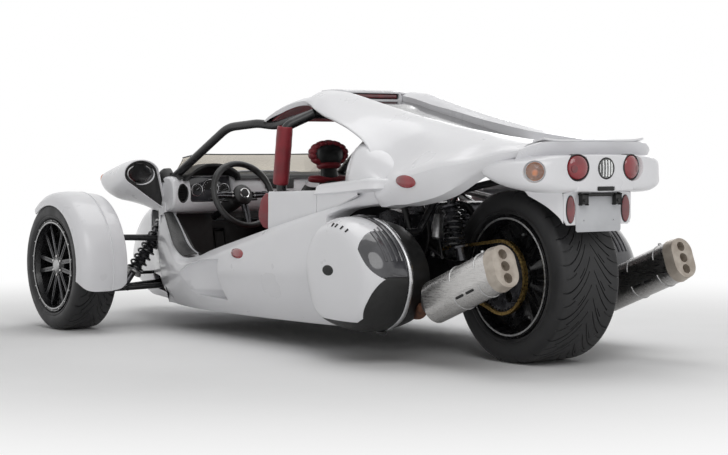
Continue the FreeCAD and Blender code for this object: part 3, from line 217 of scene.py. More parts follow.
def joined(name, objects):
    """One object from several."""
    mesh = bmesh.new()
    for obj in objects:
        obj.data.transform(obj.matrix_basis)
        mesh.from_mesh(obj.data)
    result = bpy.data.meshes.new(name)
    mesh.to_mesh(result)
    mesh.free()
    for obj in objects:
        bpy.data.objects.remove(obj)
    return linked(name, result)


def panel(name, rows, along=3, across=4, corners_across=(), thick=None):
    """A smooth moulded panel through rows of points, given a thickness on its inner side."""
    grid = np.swapaxes(flow(rows, along), 0, 1)
    grid = np.swapaxes(flow(grid, across, corners_across), 0, 1)
    verts = [spot(*point) for point in grid.reshape(-1, 3)]
    obj = outward(mesh_object(name, verts, grid_faces(grid.shape[0], grid.shape[1])))
    if thick == 0:
        return obj
    thick = bpy.context.scene.car_sizes.panel_thickness if thick is None else thick / 1000
    modify(obj, "SOLIDIFY", thickness=thick, offset=-1, use_even_offset=False)
    return sealed(settle(obj))


def lathe(name, profile, centre, axis, turns, closed=False):
    """A turned piece: profile is (radius, distance along the axis) in millimetres."""
    way = Vector(axis).normalized()
    side = way.orthogonal().normalized()
    up = way.cross(side)
    verts = [centre + way * (shift / 1000) + (side * c + up * q) * (radius / 1000)
             for radius, shift in profile for c, q in circle(turns)]
    rows = len(profile)
    faces = looped_faces(rows, turns) if closed else grid_faces(rows, turns, close=True)
    return sealed(mesh_object(name, verts, faces))


def studs(name, profile, places, way, turns):
    """Like turned fixings at several places, as one object."""
    return joined(name, [lathe("stud", profile, place, way, turns) for place in places])


def rounded(name, mesh, bevel, segments, **choices):
    """An object from an edge model, its edges rounded."""
    if bevel:
        bmesh.ops.bevel(mesh, geom=mesh.edges[:], offset=bevel / 1000, segments=segments,
                        affect="EDGES", profile=0.5, **choices)
    return linked(name, seal(mesh, name))


def block(name, low, high, bevel, segments=3):
    """A box with rounded edges between two stations."""
    a, b = spot(*low), spot(*high)
    mesh = bmesh.new()
    bmesh.ops.create_cube(mesh, size=1)
    for vert in mesh.verts:
        vert.co = Vector([a[i] + (b[i] - a[i]) * (vert.co[i] + 0.5) for i in range(3)])
    return rounded(name, mesh, bevel, segments)


def plate(name, outline, direction, bevel=1.5, segments=2):
    """A flat piece: an outline of places swept along a direction, with rounded edges."""
    mesh = bmesh.new()
    low = [mesh.verts.new(point) for point in outline]
    high = [mesh.verts.new(Vector(point) + Vector(direction)) for point in outline]
    mesh.faces.new(low)
    mesh.faces.new(list(reversed(high)))
    count = len(outline)
    for i in range(count):
        k = (i + 1) % count
        mesh.faces.new((low[k], low[i], high[i], high[k]))
    bmesh.ops.recalc_face_normals(mesh, faces=mesh.faces)
    return rounded(name, mesh, bevel, segments, clamp_overlap=True)


def tube(name, points, radius, sides, steps=6, radii=None):
    """A round bar along a smooth line through the points, closed at its ends."""
    line = [Vector(p) for p in flow([list(p) for p in points], steps)]
    sizes = flow([[r] for r in radii], steps)[:, 0] if radii else [radius] * len(line)
    verts = []
    side = None
    for i, point in enumerate(line):
        way = (line[min(i + 1, len(line) - 1)] - line[max(i - 1, 0)]).normalized()
        side = way.orthogonal() if side is None else side - way * side.dot(way)
        side.normalize()
        up = way.cross(side)
        verts += [point + (side * c + up * q) * (sizes[i] / 1000) for c, q in circle(sides)]
    faces = grid_faces(len(line), sides, close=True)
    faces.append(tuple(reversed(range(sides))))
    faces.append(tuple(range((len(line) - 1) * sides, len(line) * sides)))
    return sealed(mesh_object(name, verts, faces))


# ------------------------------------------------------------------ finishes

def add_node(tree, kind, sockets=(), **settings):
    """A new node with its settings, and with sockets given a value or linked to an output."""
    item = tree.nodes.new("ShaderNode" + kind)
    for key, value in settings.items():
        setattr(item, key, value)
    for key, value in dict(sockets).items():
        if isinstance(value, bpy.types.NodeSocket):
            tree.links.new(value, item.inputs[key])
        else:
            item.inputs[key].default_value = value
    return item


def shader(name):
    """A material with its node tree, its shader node and object coordinates."""
    material = bpy.data.materials.new(name)
    material.use_nodes = True
    tree = material.node_tree
    surface = next(node for node in tree.nodes if node.type == "BSDF_PRINCIPLED")
    return material, tree, surface, add_node(tree, "TexCoord").outputs["Object"]


def noise(tree, where, scale, detail=3.0, stretch=None):
    """A noise pattern, stretched along an axis if asked."""
    if stretch:
        where = add_node(tree, "Mapping", {"Scale": stretch, "Vector": where}).outputs["Vector"]
    return add_node(tree, "TexNoise",
                    {"Scale": scale, "Detail": detail, "Vector": where}).outputs["Fac"]


def between(tree, factor, low, high, start=0.35, end=0.65):
    """A number or colour that goes from low to high as the factor does."""
    if isinstance(low, (int, float)):
        return add_node(tree, "MapRange", {"From Min": start, "From Max": end, "To Min": low,
                                           "To Max": high, "Value": factor}).outputs["Result"]
    node = add_node(tree, "ValToRGB", {"Fac": factor})
    for element, place, colour in zip(node.color_ramp.elements, (start, end), (low, high)):
        element.position = place
        element.color = tuple(colour) + (1,)
    return node.outputs["Color"]


def relief(tree, surface, height, distance):
    """Fine relief on the surface, in metres."""
    bump = add_node(tree, "Bump", {"Distance": distance, "Strength": 1.0, "Height": height})
    tree.links.new(bump.outputs["Normal"], surface.inputs["Normal"])


def finish(name, dark, light, rough, scale, stretch=None, metal=0.0, grain=None,
           depth=0.0002, cells=None, **sockets):
    """A material with mottled colour and gloss, and a fine grain or leather cells in relief."""
    material, tree, surface, where = shader(name)
    patches = noise(tree, where, scale, 4.0, stretch)
    tree.links.new(between(tree, patches, dark, light), surface.inputs["Base Color"])
    tree.links.new(between(tree, patches, *rough), surface.inputs["Roughness"])
    surface.inputs["Metallic"].default_value = metal
    if grain:
        relief(tree, surface, noise(tree, where, grain, 2.0, stretch), depth)
    if cells:
        skin = add_node(tree, "TexVoronoi", {"Scale": cells, "Vector": where}, feature="SMOOTH_F1")
        relief(tree, surface, skin.outputs["Distance"], depth)
    for key, value in sockets.items():
        surface.inputs[key.replace("_", " ")].default_value = value
    return material


def shades(colour, spread):
    """The colour a little darker and a little lighter."""
    return [max(c * (1 - spread), 0) for c in colour], [min(c * (1 + spread), 1) for c in colour]


PAINT = {}


def make_finishes(colours):
    """All the car's finishes, from the colours in the panel."""
    own = {"white": shades(colours.body_white, 0.012),
           "leather": shades(colours.upholstery_red, 0.16),
           "lens": shades([part * 0.6 for part in colours.lens_red], 0.2)}
    for name, (label, dark, light, rough, scale, choices) in FINISHES.items():
        dark, light = own.get(name, [[tone] * 3 if isinstance(tone, float) else tone
                                     for tone in (dark, light)])
        PAINT[name] = finish(label, dark, light, rough, scale, **choices)


NODE_FINISH = {
    "black": ("space_frame", "wishbones", "front_left_knuckle", "front_right_knuckle",
              "steering_rack", "steering_column", "swingarm"),
    "satin": ("case_shells", "cockpit_tub", "engine_deck"),
    "rim": ("front_left_rim", "front_right_rim", "rear_rim"),
    "steel": ("front_left_disc", "front_right_disc", "exhausts"),
    "brass": ("chain",),
    "alloy": ("pedals",),
    "rim_edge": ("front_dampers", "rear_damper", "rear_sprocket", "engine_block"),
    "cap": ("exhaust_caps",),
    "rust": ("header_pipes",),
    "leather": ("seats", "head_restraints", "pillar_pads"),
    "grip": ("steering_wheel",),
    "tyre": ("front_left_tyre", "front_right_tyre", "rear_tyre"),
    "mirror": ("mirror_glasses",),
    "plate": ("number_plate",),
    "lens": ("red_lamps",),
    "clear": ("clear_lamps",),
    "screen": ("windscreen",),
    "white": ("dashboard", "front_left_fender", "front_right_fender", "left_case_lid",
              "right_case_lid", "mirror_pods", "nose_cowl", "plate_flap", "rear_cowls",
              "roof_panel", "side_panels", "side_pods", "tail_section"),
}


FINISHES = {
    # material, darker and lighter colour, range of roughness, scale of the mottling, the rest
    "white": ("body_white_gloss", None, None, (0.27, 0.33), 6,
        dict(grain=900, depth=0.00001, Coat_Weight=0.35, Coat_Roughness=0.1,
             Specular_IOR_Level=0.5)),
    "black": ("black_powder_coat", (0.006, 0.006, 0.007), (0.012, 0.012, 0.013), (0.26, 0.38), 60,
        dict(grain=1400, depth=0.00003)),
    "satin": ("black_moulding", 0.006, 0.013, (0.42, 0.55), 45, dict(grain=2200, depth=0.00008)),
    "speckle": ("speckled_black", 0.006, 0.075, (0.3, 0.5), 420, dict(grain=900)),
    "rim": ("rim_enamel", (0.006, 0.006, 0.007), (0.013, 0.013, 0.014), (0.22, 0.32), 35,
        dict(grain=900, depth=0.00003, Coat_Weight=0.3, Coat_Roughness=0.15)),
    "rim_edge": ("rim_worn_edge", (0.05, 0.05, 0.055), (0.11, 0.11, 0.12), (0.2, 0.3), 40,
        dict(metal=0.6, grain=700, depth=0.00003)),
    "tyre": ("tyre_rubber", (0.007, 0.007, 0.008), (0.015, 0.015, 0.016), (0.5, 0.68), 22,
        dict(grain=1800, depth=0.0001, Sheen_Weight=0.12, Sheen_Roughness=0.4)),
    "leather": ("red_leather", None, None, (0.42, 0.56), 18,
        dict(cells=420, depth=0.00045, Sheen_Weight=0.15, Sheen_Roughness=0.4)),
    "grip": ("wheel_leather", 0.008, 0.016, (0.3, 0.42), 40, dict(cells=700, depth=0.0003)),
    "steel": ("brushed_steel", (0.46, 0.45, 0.44), (0.62, 0.61, 0.6), (0.24, 0.38), 26,
        dict(stretch=(1.0, 22.0, 22.0), metal=1.0, grain=60, depth=0.0001)),
    "chrome": ("bright_metal", 0.75, 0.86, (0.07, 0.13), 30,
               dict(metal=1.0, grain=300, depth=0.00002)),
    "chrome_satin": ("satin_silver", (0.5, 0.5, 0.51), (0.62, 0.62, 0.63), (0.2, 0.28), 30,
        dict(metal=0.9, grain=900, depth=0.00002)),
    "alloy": ("cast_alloy", 0.34, 0.5, (0.34, 0.5), 90, dict(metal=1.0, grain=700)),
    "cap": ("cap_beige", (0.36, 0.31, 0.26), (0.5, 0.45, 0.39), (0.34, 0.48), 28,
        dict(metal=0.35, grain=900, depth=0.00006)),
    "brass": ("chain_brass", (0.3, 0.2, 0.07), (0.62, 0.43, 0.16), (0.26, 0.42), 120,
        dict(metal=1.0, grain=800, depth=0.0001)),
    "rust": ("heated_steel", (0.085, 0.035, 0.022), (0.27, 0.13, 0.08), (0.45, 0.7), 28,
        dict(metal=0.6, grain=500, depth=0.0003)),
    "lens": ("red_lens", None, None, (0.05, 0.1), 14,
        dict(cells=160, depth=0.0006, Coat_Weight=1.0, Coat_Roughness=0.02)),
    "reflector": ("red_reflector", (0.1, 0.004, 0.008), (0.2, 0.008, 0.014), (0.12, 0.2), 20,
        dict(cells=380, depth=0.0005, Coat_Weight=1.0, Coat_Roughness=0.03)),
    "amber": ("amber_lens", (0.75, 0.16, 0.01), (0.95, 0.28, 0.02), (0.08, 0.14), 30,
        dict(cells=260, depth=0.0004, Coat_Weight=1.0)),
    "clear": ("clear_lens", (0.93, 0.95, 0.94), (0.98, 0.99, 0.98), (0.02, 0.05), 12,
        dict(cells=120, Transmission_Weight=0.95, IOR=1.45)),
    "smoke": ("smoked_lens", (0.035, 0.035, 0.04), (0.07, 0.07, 0.078), (0.08, 0.14), 16,
        dict(cells=60, Coat_Weight=0.6)),
    "screen": ("tinted_screen", (0.5, 0.45, 0.37), (0.55, 0.5, 0.42), (0.02, 0.04), 8,
        dict(grain=40, depth=0.00002, Transmission_Weight=0.85, IOR=1.12, Alpha=0.75)),
    "mirror": ("mirror_silver", 0.28, 0.33, (0.03, 0.06), 10,
               dict(metal=1.0, grain=40, depth=0.00001)),
    "plate": ("blank_plate", (0.55, 0.56, 0.58), (0.6, 0.61, 0.63), (0.4, 0.5), 12,
        dict(grain=600, depth=0.00003)),
    # darkest black: the real colour of dial faces, badges and stitches, and painted shade where it
    # fills the slots of the cases, plate lamp and silencers
    "dark": ("black_and_painted_slot_shade", 0.004, 0.009, (0.6, 0.75), 30, dict(grain=600, depth=0.0001)),
}
def paint(obj, name):
    """Gives the whole object one finish."""
    obj.data.materials.clear()
    obj.data.materials.append(PAINT[name])
    for polygon in obj.data.polygons:
        polygon.material_index = 0


def dress(obj, name, body="chassis", nodes=(), crisp=35.0):
    """Finishes a new piece: its paint, smooth faces, the body it rides on and what it replaces."""
    paint(obj, name)
    obj.data.polygons.foreach_set("use_smooth", [True] * len(obj.data.polygons))
    obj.data.set_sharp_from_angle(angle=math.radians(crisp))
    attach(obj, body)
    if nodes:
        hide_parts(*nodes)
    return obj


# ------------------------------------------------------------------ settings

class CarColours(bpy.types.PropertyGroup):
    body_white: bpy.props.FloatVectorProperty(
        name="Body", description="Gloss paint of the body panels", subtype="COLOR",
        size=3, min=0, max=1, default=(0.82, 0.82, 0.84))
    upholstery_red: bpy.props.FloatVectorProperty(
        name="Upholstery", description="Leather of the seats, pads and head restraints",
        subtype="COLOR", size=3, min=0, max=1, default=(0.2, 0.012, 0.02))
    lens_red: bpy.props.FloatVectorProperty(
        name="Red lenses", description="Tail lamps and side markers", subtype="COLOR",
        size=3, min=0, max=1, default=(0.42, 0.004, 0.016))
    floor: bpy.props.FloatVectorProperty(
        name="Floor", description="Studio floor", subtype="COLOR",
        size=3, min=0, max=1, default=(0.9, 0.9, 0.9))


class CarSizes(bpy.types.PropertyGroup):
    groove_depth: bpy.props.FloatProperty(
        name="Tread depth", description="Depth of the tyre grooves", unit="LENGTH",
        default=0.007, min=0.002, max=0.009)
    panel_thickness: bpy.props.FloatProperty(
        name="Panel", description="Thickness of the moulded body panels", unit="LENGTH",
        default=0.004, min=0.002, max=0.01)
    camera_lens: bpy.props.FloatProperty(
        name="Lens", description="Focal length of the studio camera", unit="CAMERA",
        default=88.65, min=20, max=300)


# ------------------------------------------------------------------ operators

class CAR_OT_frame_finishes(bpy.types.Operator):
    """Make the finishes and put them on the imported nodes"""
    bl_idname = "car.frame_finishes"
    bl_label = "Frame finishes"

    def execute(self, context):
        make_finishes(context.scene.car_colours)
        for name, nodes in NODE_FINISH.items():
            for node in nodes:
                paint(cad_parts[node], name)
        return {"FINISHED"}


CAMERA_PLACE = (-6.659, 4.476, 0.798)
CAMERA_TURN = (-34.56, -2.30, 0.18)     # yaw, pitch and roll in degrees
SOFTBOXES = (
    # name, place, the place it faces, diameter, power in watts
    ("key_softbox", (-4.6, 2.2, 4.4), (-0.3, 0.2, 0.4), 3.8, 84),
    ("top_softbox", (0.6, -0.6, 5.2), (0.0, 0.0, 0.3), 4.4, 80),
    ("far_softbox", (2.6, -4.4, 3.2), (0.0, -0.2, 0.4), 3.0, 58),
)


class CAR_OT_studio(bpy.types.Operator):
    """Set the camera, the soft lights and the pale floor"""
    bl_idname = "car.studio"
    bl_label = "Studio"

    def execute(self, context):
        scene = context.scene
        camera = linked("camera", bpy.data.cameras.new("camera"))
        camera.data.sensor_width = 36
        camera.data.lens = scene.car_sizes.camera_lens
        camera.data.clip_end = 100
        yaw, pitch, roll = (math.radians(v) for v in CAMERA_TURN)
        ahead = Vector((math.cos(yaw) * math.cos(pitch), math.sin(yaw) * math.cos(pitch),
                        math.sin(pitch)))
        turn = ahead.to_track_quat("-Z", "Y").to_matrix().to_4x4() @ Matrix.Rotation(-roll, 4, "Z")
        camera.matrix_world = Matrix.Translation(CAMERA_PLACE) @ turn
        scene.camera = camera
        for name, place, aim, size, power in SOFTBOXES:
            lamp = linked(name, bpy.data.lights.new(name, "AREA"))
            lamp.data.shape = "DISK"
            lamp.data.size = size
            lamp.data.energy = power
            lamp.location = place
            lamp.rotation_mode = "QUATERNION"
            lamp.rotation_quaternion = (Vector(aim) - Vector(place)).to_track_quat("-Z", "Y")
        make_floor(scene.car_colours.floor)
        scene.world = bpy.data.worlds.new("studio")
        scene.world.use_nodes = True
        tree = scene.world.node_tree
        tree.nodes.clear()
        path = add_node(tree, "LightPath").outputs
        seen = add_node(tree, "Math", {0: path["Is Camera Ray"], 1: path["Is Transmission Ray"]},
                        operation="MAXIMUM")
        shone = add_node(tree, "Math", {0: seen.outputs[0], 1: path["Is Glossy Ray"]},
                         operation="MAXIMUM")
        level = add_node(tree, "MapRange",
                         {"To Min": 0.3, "To Max": 1.0, "Value": shone.outputs[0]})
        glow = add_node(tree, "Background",
                        {"Color": (1, 1, 1, 1), "Strength": level.outputs["Result"]})
        add_node(tree, "OutputWorld", {"Surface": glow.outputs[0]})
        scene.view_settings.view_transform = "Standard"
        return {"FINISHED"}


def make_floor(colour):
    """Pale paper that keeps the shadow and fades to pure white away from the car."""
    floor = mesh_object("floor", [(-40, -40, 0), (40, -40, 0), (40, 40, 0), (-40, 40, 0)],
                        [(0, 1, 2, 3)])
    material, tree, surface, where = shader("floor_paper")
    paper = between(tree, noise(tree, where, 2.0), *shades(colour, 0.01))
    tree.links.new(paper, surface.inputs["Base Color"])
    surface.inputs["Roughness"].default_value = 0.9
    reach = add_node(tree, "VectorMath", {0: where}, operation="LENGTH").outputs["Value"]
    fade = add_node(tree, "MapRange", {"From Min": 1.5, "From Max": 4.2, "Value": reach},
                    interpolation_type="SMOOTHSTEP")
    light = add_node(tree, "Emission", {"Color": (1, 1, 1, 1)})
    mix = add_node(tree, "MixShader", {"Fac": fade.outputs["Result"], 1: surface.outputs[0],
                                       2: light.outputs[0]})
    end = next(node for node in tree.nodes if node.type == "OUTPUT_MATERIAL")
    tree.links.new(mix.outputs[0], end.inputs["Surface"])
    floor.data.materials.append(material)


# ------------------------------------------------------------------ body panels

def dress_both(obj, part, nodes):
    """Paints a left piece and its mirror image white; the left one stands for the nodes."""
    obj.name = "left_" + part
    twin = mirrored(obj, "right_" + part)
    dress(obj, "white", nodes=nodes)
    dress(twin, "white")


def hull(name, rings, along=3, around=4, corners_along=(), corners_around=None):
    """A closed smooth body through rings of points, flat at both ends."""
    grid = flow(rings, along, corners_along)
    count = grid.shape[1]
    if corners_around is None:
        wrapped = np.concatenate([grid[:, -2:], grid, grid[:, :3]], axis=1)
        fine = np.swapaxes(flow(np.swapaxes(wrapped, 0, 1), around), 0, 1)
        fine = fine[:, 2 * around:(2 + count) * around]
    else:
        wrapped = np.concatenate([grid, grid[:, :1]], axis=1)
        fine = np.swapaxes(flow(np.swapaxes(wrapped, 0, 1), around, corners_around), 0, 1)[:, :-1]
    verts = [spot(*point) for point in fine.reshape(-1, 3)]
    return sealed(mesh_object(name, verts, capped_faces(*fine.shape[:2])))


def rows_of(table, columns):
    """Rows of places from a table of station, then y and z pairs."""
    return [[(row[0], row[1 + 2 * i], row[2 + 2 * i]) for i in range(columns)] for row in table]


def edged(obj, width=1.5, angle=40):
    """Rounds the crisp edges a little, as a moulding has them."""
    modify(obj, "BEVEL", width=width / 1000, segments=2, limit_method="ANGLE",
           angle_limit=math.radians(angle), harden_normals=False)
    return settle(obj)


NOSE_ROWS = (
    # station, then y and z: floor middle and edge, flare, waist, upper side, shoulder, crown, ridge
    (3085, 0, 232, 52, 232, 84, 250, 96, 275, 92, 296, 80, 314, 40, 330, 0, 334),
    (3010, 0, 205, 116, 205, 146, 235, 160, 278, 152, 318, 132, 348, 72, 370, 0, 378),
    (2900, 0, 165, 190, 165, 230, 210, 245, 285, 236, 350, 214, 402, 112, 438, 0, 450),
    (2770, 0, 132, 236, 132, 280, 198, 296, 298, 288, 390, 268, 458, 152, 514, 0, 530),
    (2640, 0, 112, 270, 112, 316, 190, 335, 310, 330, 420, 312, 506, 188, 578, 0, 596),
    (2500, 0, 110, 300, 110, 350, 190, 370, 316, 366, 446, 350, 542, 226, 622, 0, 642),
    (2380, 0, 110, 330, 110, 384, 196, 402, 320, 400, 460, 385, 572, 260, 655, 0, 676),
    (2250, 0, 110, 376, 110, 434, 198, 452, 326, 448, 470, 430, 588, 296, 686, 0, 708),
    (2132, 0, 110, 420, 110, 478, 200, 505, 330, 500, 472, 478, 600, 330, 712, 0, 730),
)
FLANK_ROWS = (
    # station, then y and z: inner foot, floor edge, bulge, waist, upper side, top edge, inner lip
    (2131, 453, 112, 422, 108, 478, 200, 505, 330, 500, 470, 484, 556, 453, 558),
    (2060, 453, 112, 446, 107, 502, 200, 526, 325, 520, 440, 504, 521, 453, 524),
    (1980, 453, 112, 466, 107, 526, 198, 548, 305, 541, 392, 527, 448, 453, 446),
    (1908, 453, 112, 480, 107, 541, 195, 564, 288, 560, 345, 543, 386, 453, 380),
    (1840, 453, 112, 490, 107, 553, 192, 580, 270, 580, 322, 554, 354, 453, 346),
    (1767, 453, 112, 500, 107, 562, 190, 596, 264, 593, 312, 558, 340, 453, 330),
    (1650, 453, 112, 506, 107, 568, 190, 612, 268, 608, 322, 560, 354, 453, 344),
    (1541, 453, 112, 510, 108, 573, 191, 620, 278, 614, 340, 560, 384, 453, 372),
    (1325, 453, 112, 516, 110, 577, 196, 617, 300, 598, 398, 556, 435, 453, 424),
    (1094, 453, 114, 520, 112, 579, 206, 614, 318, 584, 456, 552, 488, 453, 476),
    (880, 453, 118, 521, 115, 577, 216, 608, 332, 572, 510, 549, 535, 453, 520),
    (700, 453, 122, 520, 118, 574, 226, 602, 346, 563, 551, 546, 572, 453, 556),
    (612, 453, 124, 519, 120, 570, 230, 598, 354, 559, 570, 544, 589, 453, 575),
)
BEAM_RINGS = (
    # station, then y and z: crease, lower edge, inner foot, inner top, ledge
    (720, 540, 560, 552, 520, 470, 520, 470, 560, 512, 566),
    (612, 543, 589, 556, 556, 458, 556, 462, 590, 508, 594),
    (560, 537, 602, 530, 579, 452, 580, 458, 604, 504, 608),
    (480, 525, 625, 515, 596, 446, 594, 452, 636, 498, 640),
    (420, 513, 646, 504, 603, 436, 600, 440, 668, 500, 680),
    (366, 504, 668, 490, 610, 424, 606, 430, 684, 488, 694),
    (310, 494, 684, 480, 612, 416, 606, 424, 694, 472, 700),
)
ROOF_EDGE = (
    # y of the column, station and height of the front edge, drop of the rear edge from the ridge
    (0, 1492, 968, 0), (80, 1487, 968, 0), (160, 1471, 966, 3), (240, 1444, 963, 12),
    (320, 1410, 958, 26), (372, 1380, 953, 38), (402, 1354, 948, 52),
)
ROOF_REAR = 1096
ROOF_HALF = 402
ROOF_WIDTH = ((1354, 402), (1260, 382), (1169, 352), (1106, 337), (1096, 336))
RIDGE_LINE = (
    # station and height of the roof's middle line
    (1622, 1046), (1540, 1064), (1442, 1079), (1320, 1086), (1163, 1084), (1060, 1078), (962, 1066),
)
COWL_ROWS = (
    # station, then y and z: inner foot and top, ridge, upper slope, shoulder, crease, edge, return
    (1104, 152, 1000, 156, 1062, 205, 1078, 268, 1070, 306, 1054, 340, 1032, 334, 1014, 320, 1014),
    (1030, 150, 975, 156, 1050, 205, 1071, 278, 1062, 326, 1044, 362, 1014, 355, 998, 340, 999),
    (963, 150, 955, 156, 1036, 205, 1063, 286, 1050, 346, 1030, 388, 997, 380, 982, 364, 984),
    (860, 150, 930, 156, 1012, 200, 1040, 290, 1024, 360, 1000, 410, 970, 402, 955, 386, 958),
    (740, 150, 912, 156, 990, 198, 1012, 290, 996, 372, 964, 430, 942, 421, 928, 402, 932),
    (630, 150, 896, 154, 968, 198, 988, 292, 968, 382, 930, 440, 908, 430, 893, 406, 898),
    (520, 150, 880, 152, 946, 200, 964, 296, 938, 388, 888, 448, 860, 438, 842, 410, 848),
    (440, 149, 869, 150, 932, 202, 948, 300, 912, 392, 842, 466, 800, 456, 780, 420, 784),
    (366, 148, 858, 150, 919, 204, 934, 304, 888, 402, 786, 502, 672, 486, 612, 420, 606),
    (270, 146, 846, 148, 904, 206, 917, 306, 870, 402, 776, 497, 692, 474, 608, 408, 602),
    (180, 144, 838, 146, 891, 208, 903, 306, 858, 394, 792, 486, 716, 456, 616, 396, 608),
    (30, 140, 828, 142, 874, 212, 884, 304, 850, 376, 806, 452, 752, 424, 652, 366, 642),
    (-80, 134, 820, 137, 862, 216, 870, 298, 846, 350, 808, 402, 770, 372, 722, 330, 706),
    (-180, 127, 814, 130, 853, 219, 859, 286, 844, 322, 826, 352, 798, 336, 768, 306, 758),
    (-292, 118, 812, 122, 844, 224, 848, 266, 842, 292, 832, 318, 815, 306, 800, 288, 796),
)
WALL_ROWS = (
    # station, top height, bottom height of the wall beside a seat
    (1090, 648, 487), (980, 651, 511), (860, 655, 538), (740, 658, 562), (640, 666, 584),
    (570, 676, 598), (500, 680, 618), (430, 680, 640),
)
TAIL_RINGS = (
    # station, inner and outer y, low and high z
    (-97, 340, 350, 742, 750),
    (-118, 322, 354, 722, 762),
    (-160, 286, 356, 700, 774),
    (-215, 232, 356, 680, 784),
    (-280, 130, 350, 664, 792),
    (-330, 70, 334, 658, 797),
    (-368, 60, 306, 660, 798),
    (-392, 56, 272, 668, 793),
    (-400, 50, 250, 678, 785),
)


def make_nose():
    half = panel("nose", rows_of(NOSE_ROWS, 8), corners_across=(1,), thick=0)
    nose = joined("nose", [half, mirrored(half, "nose_right")])
    fix = bmesh.new()
    fix.from_mesh(nose.data)
    bmesh.ops.remove_doubles(fix, verts=fix.verts, dist=1e-5)
    front = [edge for edge in fix.edges if edge.is_boundary
             and all(v.co.x > spot(3080, 0, 0).x for v in edge.verts)]
    bmesh.ops.holes_fill(fix, edges=front, sides=0)
    bmesh.ops.recalc_face_normals(fix, faces=fix.faces)
    fix.to_mesh(nose.data)
    fix.free()
    modify(nose, "SOLIDIFY", thickness=0.006, offset=-1)
    sealed(settle(nose))
    for sign in (1, -1):
        for low, high in ((438, 540), (150, 232)):
            cut(nose, block("opening", (2205, sign * 240, low), (2430, sign * 600, high), 10, 4))
        cut(nose, block("lamp_socket", (2790, sign * 128, 345), (2940, sign * 206, 425), 10, 4))
    cut(nose, block("air_mouth", (2860, -110, 196), (3120, 110, 262), 12, 4))
    dress(edged(nose), "white", nodes=("nose_cowl",))
    liner = plate("nose_grille", [spot(2960, -118, 188), spot(2960, 118, 188), spot(2930, 118, 270),
                                  spot(2930, -118, 270)], (-0.004, 0, 0))
    dress(liner, "dark")


def make_flanks():
    flank = hull("left_flank", rows_of(FLANK_ROWS, 7), along=4, corners_around=(1, 4, 5, 6))
    cut(flank, hull("scoop", [
        [(x, near, low + 6), (x, near, high - 6), (x, 740, high + 10), (x, 740, low - 8)]
        for x, near, low, high in ((1812, 606, 200, 262), (1700, 588, 184, 312),
                                   (1560, 556, 176, 345), (1392, 504, 172, 352))],
                    along=6, around=6, corners_around=(1, 2, 3)))
    cut(flank, hull("slot", [
        [(x, near, low), (x, near, high), (x, 740, high), (x, 740, low)]
        for x, near, low, high in ((1780, 590, 196, 200), (1620, 548, 182, 206),
                                   (1400, 466, 174, 214))],
                    along=4, around=2, corners_around=(1, 2, 3)))
    dress_both(edged(flank, 1.2, 38), "flank", ("side_pods",))


def ridge_height(x):
    """Height of the roof's middle line at a station."""
    stations, heights = zip(*reversed(RIDGE_LINE))
    return float(np.interp(x, stations, heights))


def make_roof():
    columns = [(-row[0], *row[1:]) for row in reversed(ROOF_EDGE[1:])] + list(ROOF_EDGE)
    stations = [x for x, y in reversed(ROOF_WIDTH)]
    widths = [y / ROOF_HALF for x, y in reversed(ROOF_WIDTH)]
    rows = []
    for step in range(9):
        share = step / 8
        row = []
        for y, front, low, last in columns:
            x = front + (ROOF_REAR - front) * share
            width = float(np.interp(x, stations, widths)) if abs(y) > 100 else 1.0
            drop = (ridge_height(front) - low) * (1 - share) ** 1.5 + last * share
            row.append((x, y * width, ridge_height(x) - drop))
        lips = []
        for (x, y, z), sign in ((row[0], -1), (row[-1], 1)):
            lips.append((x - 4, y - sign * 6, z - 4 - 14 * min(1.0, step / 3)))
        rows.append([lips[0]] + row + [lips[1]])
    roof = panel("roof", rows, along=4, corners_across=(1, 13), thick=7)
    for sign in (1, -1):
        hoop = [spot(x, sign * y, z) for x, y, z in (
            (1092, 478, 700), (1068, 476, 880), (1046, 446, 950), (1024, 392, 985),
            (1016, 300, 984))]
        cut(roof, tube("hoop_notch", hoop, 27, 20))
    dress(edged(roof, 1.2, 50), "white", nodes=("roof_panel",))
    header = [spot(x - 6, y * 0.985, z - 6) for x, y, z in rows[0][1:-1]]
    dress(tube("roof_header", header, 9, 12, 4), "satin")
    inner = [[(x - 8, y * 0.95, z - 13) for x, y, z in row[1:-1]] for row in rows[:-3]]
    dress(panel("headlining", inner, along=2, across=3), "leather")
    housing = hull("brake_lamp_housing", [
        [(x, -half, low), (x, -half - 4, mid), (x, -half + 6, top), (x, half - 6, top),
         (x, half + 4, mid), (x, half, low)]
        for x, half, low, mid, top in ((1330, 118, 1060, 1072, 1087), (1240, 134, 1044, 1066, 1088),
                                       (1150, 144, 1032, 1060, 1085), (1098, 148, 1026, 1054, 1079),
                                       (1090, 146, 1025, 1050, 1074))],
                   along=4, corners_around=(2, 3))
    cut(housing, block("lamp_slot", (1078, -136, 1043), (1106, 136, 1069), 9, 4))
    dress(edged(housing, 1.0, 50), "white")
    dress(block("brake_lamp_surround", (1094, -133, 1044.5), (1104, 133, 1067.5), 8, 4), "satin")
    glass = panel("rear_window", [[(x, y, z) for y in (-half, 0, half)] for x, half, z in (
        (1110, 146, 1040), (985, 146, 1022), (860, 146, 990), (640, 146, 944), (440, 145, 900),
        (290, 143, 868))], across=3)
    dress(glass, "smoke")
    dress(block("brake_lamp_strip", (1090.5, -124, 1047), (1097, 124, 1065), 5, 3), "reflector")


def make_cowls():
    leg = panel("left_roof_leg", rows_of(COWL_ROWS, 8), along=4, corners_across=(1, 6), thick=5)
    dress_both(leg, "roof_leg", ("rear_cowls",))
    deck = panel("tail_deck", [[(x, y, z - 10 * (y / half) ** 2)
                                for y in (-half, -half / 2, 0, half / 2, half)]
                               for x, half, z in ((300, 150, 868), (180, 149, 858), (30, 145, 846),
                                                  (-120, 137, 838), (-292, 126, 838))], across=3)
    dress(deck, "white")


